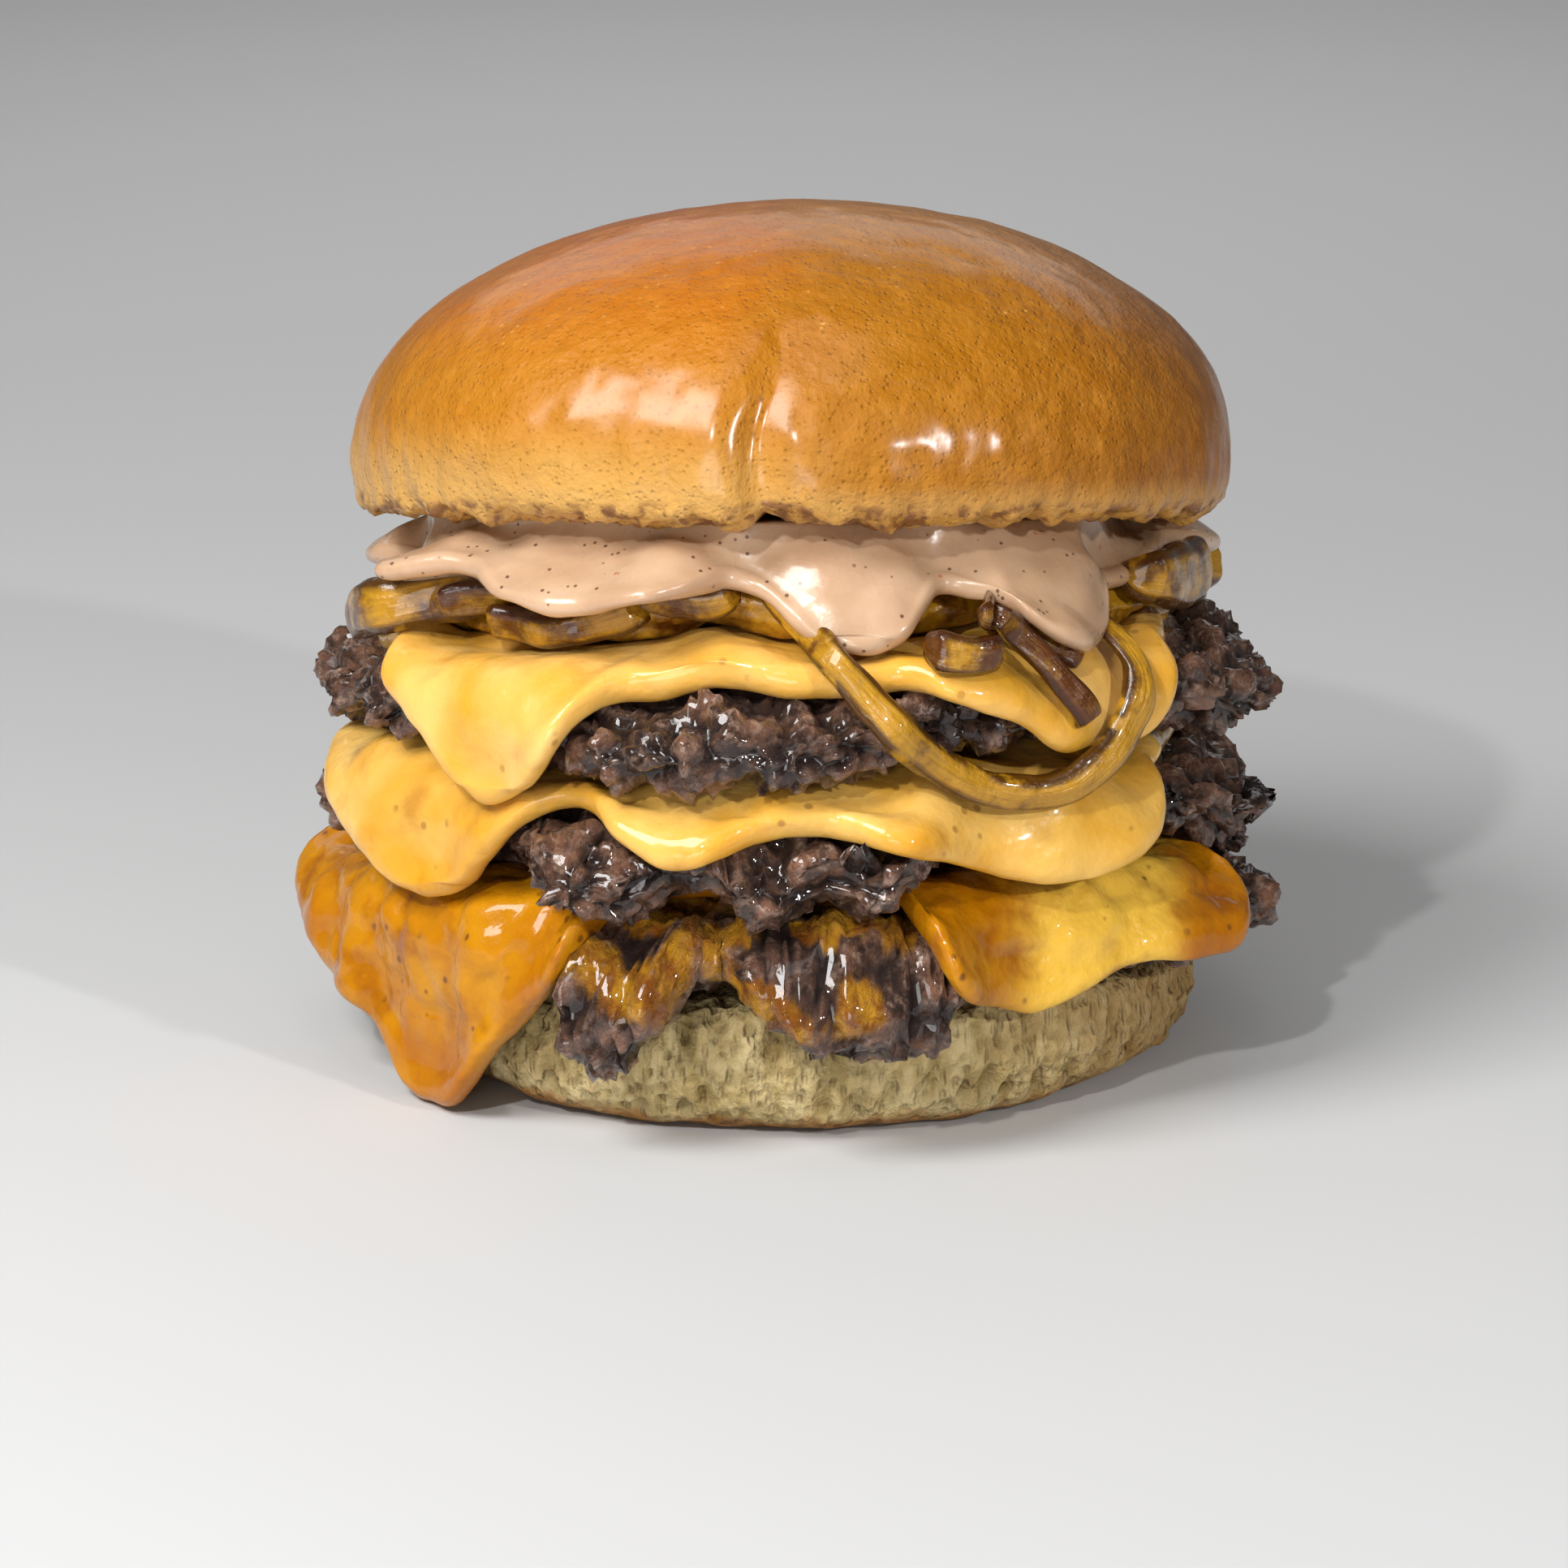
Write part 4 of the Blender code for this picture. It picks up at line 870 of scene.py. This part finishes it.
def beef_finish(name):
    """Seared ground beef: brown lumps with grey crumbs, clefts darkened to near black by painted shade, wet
    grease and smeared cheese.
    """
    finish = Finish(name, specular_ior_level=0.25, coat_roughness=0.05)
    cleft = finish.mark("cleft")
    mottle = finish.noise(4.5, 5, 0.65).between(0.36, 0.66)
    seared_and_shaded = finish.mix(mottle, (0.045, 0.019, 0.012), (0.36, 0.17, 0.1))
    seared_and_shaded = finish.mix(finish.noise(1.4, 4, 0.6).between(0.48, 0.7) * 0.7, seared_and_shaded, (0.62, 0.4, 0.29))
    # Painted shade: the clefts between the lumps are darkened to near black.
    seared_and_shaded = finish.mix(cleft.between(0.28, 0.68) * 0.92, seared_and_shaded, (0.02, 0.007, 0.005))
    glaze = finish.mark("glaze").between(0.15, 0.5)
    run = finish.mix(finish.noise(3.5, 4, 0.6).between(0.35, 0.65), (0.34, 0.1, 0.003), (0.72, 0.33, 0.01))
    finish.colour(finish.mix(glaze * 0.9, seared_and_shaded, run))
    wet = finish.noise(2.2, 4, 0.6).between(0.36, 0.5)
    finish.roughness(0.75 - glaze * 0.25)
    finish.feed(finish.shader.inputs["Coat Weight"], wet)
    grain = finish.noise(0.9, 5, 0.7) * 1.2 - finish.cells(1.9) * 1.1
    finish.bump(grain, 1.7, 1.0)
    return finish.material


def cheese_finish(name, melted, deep, stained):
    """Melted processed cheese: smooth and glossy, in paler and deeper patches, with brown flecks."""
    finish = Finish(name, specular_ior_level=0.1, coat_weight=0.6 - 0.1 * stained, coat_roughness=0.06,
                    subsurface_weight=0.15, subsurface_scale=0.003, subsurface_radius=(1.0, 0.4, 0.05))
    tone = finish.noise(12, 3, 0.45, warp=0.4).between(0.2, 0.85)
    across = finish.sideways()
    colour = finish.mix(tone * (1 - 0.3 * stained), deep, melted)
    yellow = (across.between(0.022, 0.032) - across.between(0.043, 0.05)) * (0.9 * stained)
    colour = finish.mix(yellow.between(0, 1), colour, (0.84, 0.5, 0.06))
    grease = finish.noise(7, 4, 0.5).between(0.56 - 0.1 * stained, 0.8 - 0.08 * stained)
    colour = finish.mix(grease * (0.25 + 0.6 * stained), colour, (0.28, 0.075, 0.002))
    flecks = finish.cells(3.4).between(0.2, 0.1) * finish.noise(11, 2).between(0.48, 0.58)
    colour = finish.mix(flecks * (0.35 + 0.5 * stained), colour, (0.15, 0.045, 0.008))
    finish.colour(colour)
    finish.roughness(0.2 + finish.noise(6, 3) * 0.16)
    finish.bump(finish.noise(5, 3) + finish.noise(1.4, 3) * (0.15 + 0.3 * stained), 0.8, 0.7)
    return finish.material


def onion_finish(name, browned):
    """Fried onion: oily, ribbed along its length, browned in patches and scorched along its edges."""
    finish = Finish(name, specular_ior_level=0.3, coat_weight=0.55, coat_roughness=0.06,
                    subsurface_weight=0.15, subsurface_scale=0.002, subsurface_radius=(1.0, 0.5, 0.1))
    inputs = {"X": finish.mark("across"), "Y": finish.mark("run") * 0.03, "Z": 0.0}
    ribbed = finish.node("ShaderNodeCombineXYZ", inputs=inputs)
    ribs = finish.node("ShaderNodeTexNoise", inputs={"Vector": ribbed, "Scale": 6.0, "Detail": 3.0})
    colour = finish.mix(ribs.between(0.2, 0.8), ONION_DEEP, ONION_PALE)
    patches = finish.noise(5, 4, 0.6).between(0.66 - 0.42 * browned, 0.84 - 0.28 * browned)
    edges = finish.node("ShaderNodeMath", {"operation": "ABSOLUTE"}, {0: finish.mark("across")})
    burnt = finish.noise(4, 3).between(0.4 - 0.2 * browned, 0.52 - 0.2 * browned)
    scorched = edges.between(0.5, 0.85) * burnt
    colour = finish.mix(patches, colour, ONION_BROWN)
    finish.colour(finish.mix(scorched * 0.9, colour, ONION_SCORCHED))
    finish.roughness(0.2 + finish.noise(3, 3) * 0.2)
    finish.bump(ribs * 0.4 + finish.noise(1.8, 3), 0.6, 0.9)
    return finish.material


def sauce_finish():
    """Pink mayonnaise sauce with dark specks, thick and wet."""
    finish = Finish("pink sauce", specular_ior_level=0.5, coat_weight=0.4, coat_roughness=0.08,
                    subsurface_weight=0.3, subsurface_scale=0.004, subsurface_radius=(1.0, 0.6, 0.4))
    colour = finish.mix(finish.noise(9, 3).between(0.3, 0.7), (0.47, 0.29, 0.17), (0.57, 0.38, 0.24))
    specks = finish.cells(1.8).between(0.17, 0.11) * finish.noise(5, 2).between(0.42, 0.48)
    colour = finish.mix(specks * 0.85, colour, (0.1, 0.035, 0.02))
    red = finish.cells(3.3).between(0.1, 0.06) * finish.noise(8, 2).between(0.5, 0.56)
    finish.colour(finish.mix(red * 0.8, colour, (0.5, 0.12, 0.03)))
    finish.roughness(0.22 + finish.noise(7, 2) * 0.12)
    finish.bump(finish.noise(3.5, 3), 0.35, 0.5)
    return finish.material


# The burger and its studio

MIDDLE = (0.0, 0.0, 0.055)
BEHIND = (0.0, 0.8, 0.0)  # the floor behind the burger

# Angle right of the front and above the floor in degrees, distance, size, power and what it looks at
LAMPS = {
    "key softbox": (-48, 46, 0.7, 0.3, 4.5, MIDDLE),
    "overhead softbox": (-10, 80, 1.0, 0.5, 0.8, MIDDLE),
    "front softbox": (-14, 3, 1.2, 0.5, 4.2, MIDDLE),
    "left sparkle": (-20, 34, 0.9, 0.03, 2.6, MIDDLE),
    "right sparkle": (40, 22, 0.9, 0.03, 2.8, MIDDLE),
    "floor softbox": (0, 90, 0.4, 0.8, 1.5, BEHIND),
}
WORLD_STRENGTH = 0.1
FLOOR_SIZE = 4.0
FLOOR_COLOUR = (0.6, 0.6, 0.6, 1)

CAMERA_PLACE = (-0.0009, -0.700, 0.221)
CAMERA_TILT = math.radians(74.8)
CAMERA_LENS = 132.9


def burger():
    stack = Stack()
    heel(stack, crumb_finish())
    for level, patty_seed, cheese_seed in (("bottom", 2, 31), ("middle", 5, 33), ("top", 9, 35)):
        patty(stack, f"patty_{level}", patty_seed, beef_finish(f"{level} patty beef"))
        melt = cheese_finish(f"{level} cheese", *CHEESE_COLOURS[f"cheese_{level}"])
        cheese(stack, f"cheese_{level}", cheese_seed, melt)
    onion_bed(stack, onion_finish("onion heap", BROWNED_HEAP))
    for name, shape in ONIONS.items():
        if name == "onion_brown_strand":
            sauce(stack, sauce_finish())
        browned = BROWNED.get(name, LIGHTLY_BROWNED)
        onion_piece(stack, name, **shape, finish=onion_finish(name.replace("_", " "), browned))
    crown(crust_finish())


def lamp(name, azimuth, elevation, distance, size, power, aim):
    """A square soft light that looks at a place from an angle right of the front."""
    light = bpy.data.lights.new(name, "AREA")
    light.size = size
    light.energy = power
    turn, rise = math.radians(azimuth), math.radians(elevation)
    away = Vector((math.sin(turn) * math.cos(rise), -math.cos(turn) * math.cos(rise), math.sin(rise)))
    facing = away.to_track_quat("Z", "Y").to_matrix().to_4x4()
    lamp_object = bpy.data.objects.new(name, light)
    lamp_object.matrix_world = Matrix.Translation(Vector(aim) + away * distance) @ facing
    bpy.context.scene.collection.objects.link(lamp_object)


def studio():
    for name, settings in LAMPS.items():
        lamp(name, *settings)
    world = bpy.data.worlds.new("soft studio")
    world.use_nodes = True
    background = world.node_tree.nodes["Background"]
    background.inputs["Color"].default_value = (1, 1, 1, 1)
    background.inputs["Strength"].default_value = WORLD_STRENGTH
    bpy.context.scene.world = world
    floor_mesh = bpy.data.meshes.new("floor")
    plane = bmesh.new()
    bmesh.ops.create_grid(plane, x_segments=1, y_segments=1, size=FLOOR_SIZE)
    plane.to_mesh(floor_mesh)
    plane.free()
    finish = Finish("pale floor", base_color=FLOOR_COLOUR, roughness=0.7)
    floor_mesh.materials.append(finish.material)
    floor = bpy.data.objects.new("floor", floor_mesh)
    bpy.context.scene.collection.objects.link(floor)


def photograph_camera():
    camera_data = bpy.data.cameras.new("camera")
    camera_data.lens = CAMERA_LENS
    camera_data.sensor_width = 36.0
    camera = bpy.data.objects.new("camera", camera_data)
    camera.location = CAMERA_PLACE
    camera.rotation_euler = (CAMERA_TILT, 0, 0)
    bpy.context.scene.collection.objects.link(camera)
    bpy.context.scene.camera = camera


photograph_camera()
studio()
burger()
bpy.context.scene.view_settings.view_transform = "Standard"
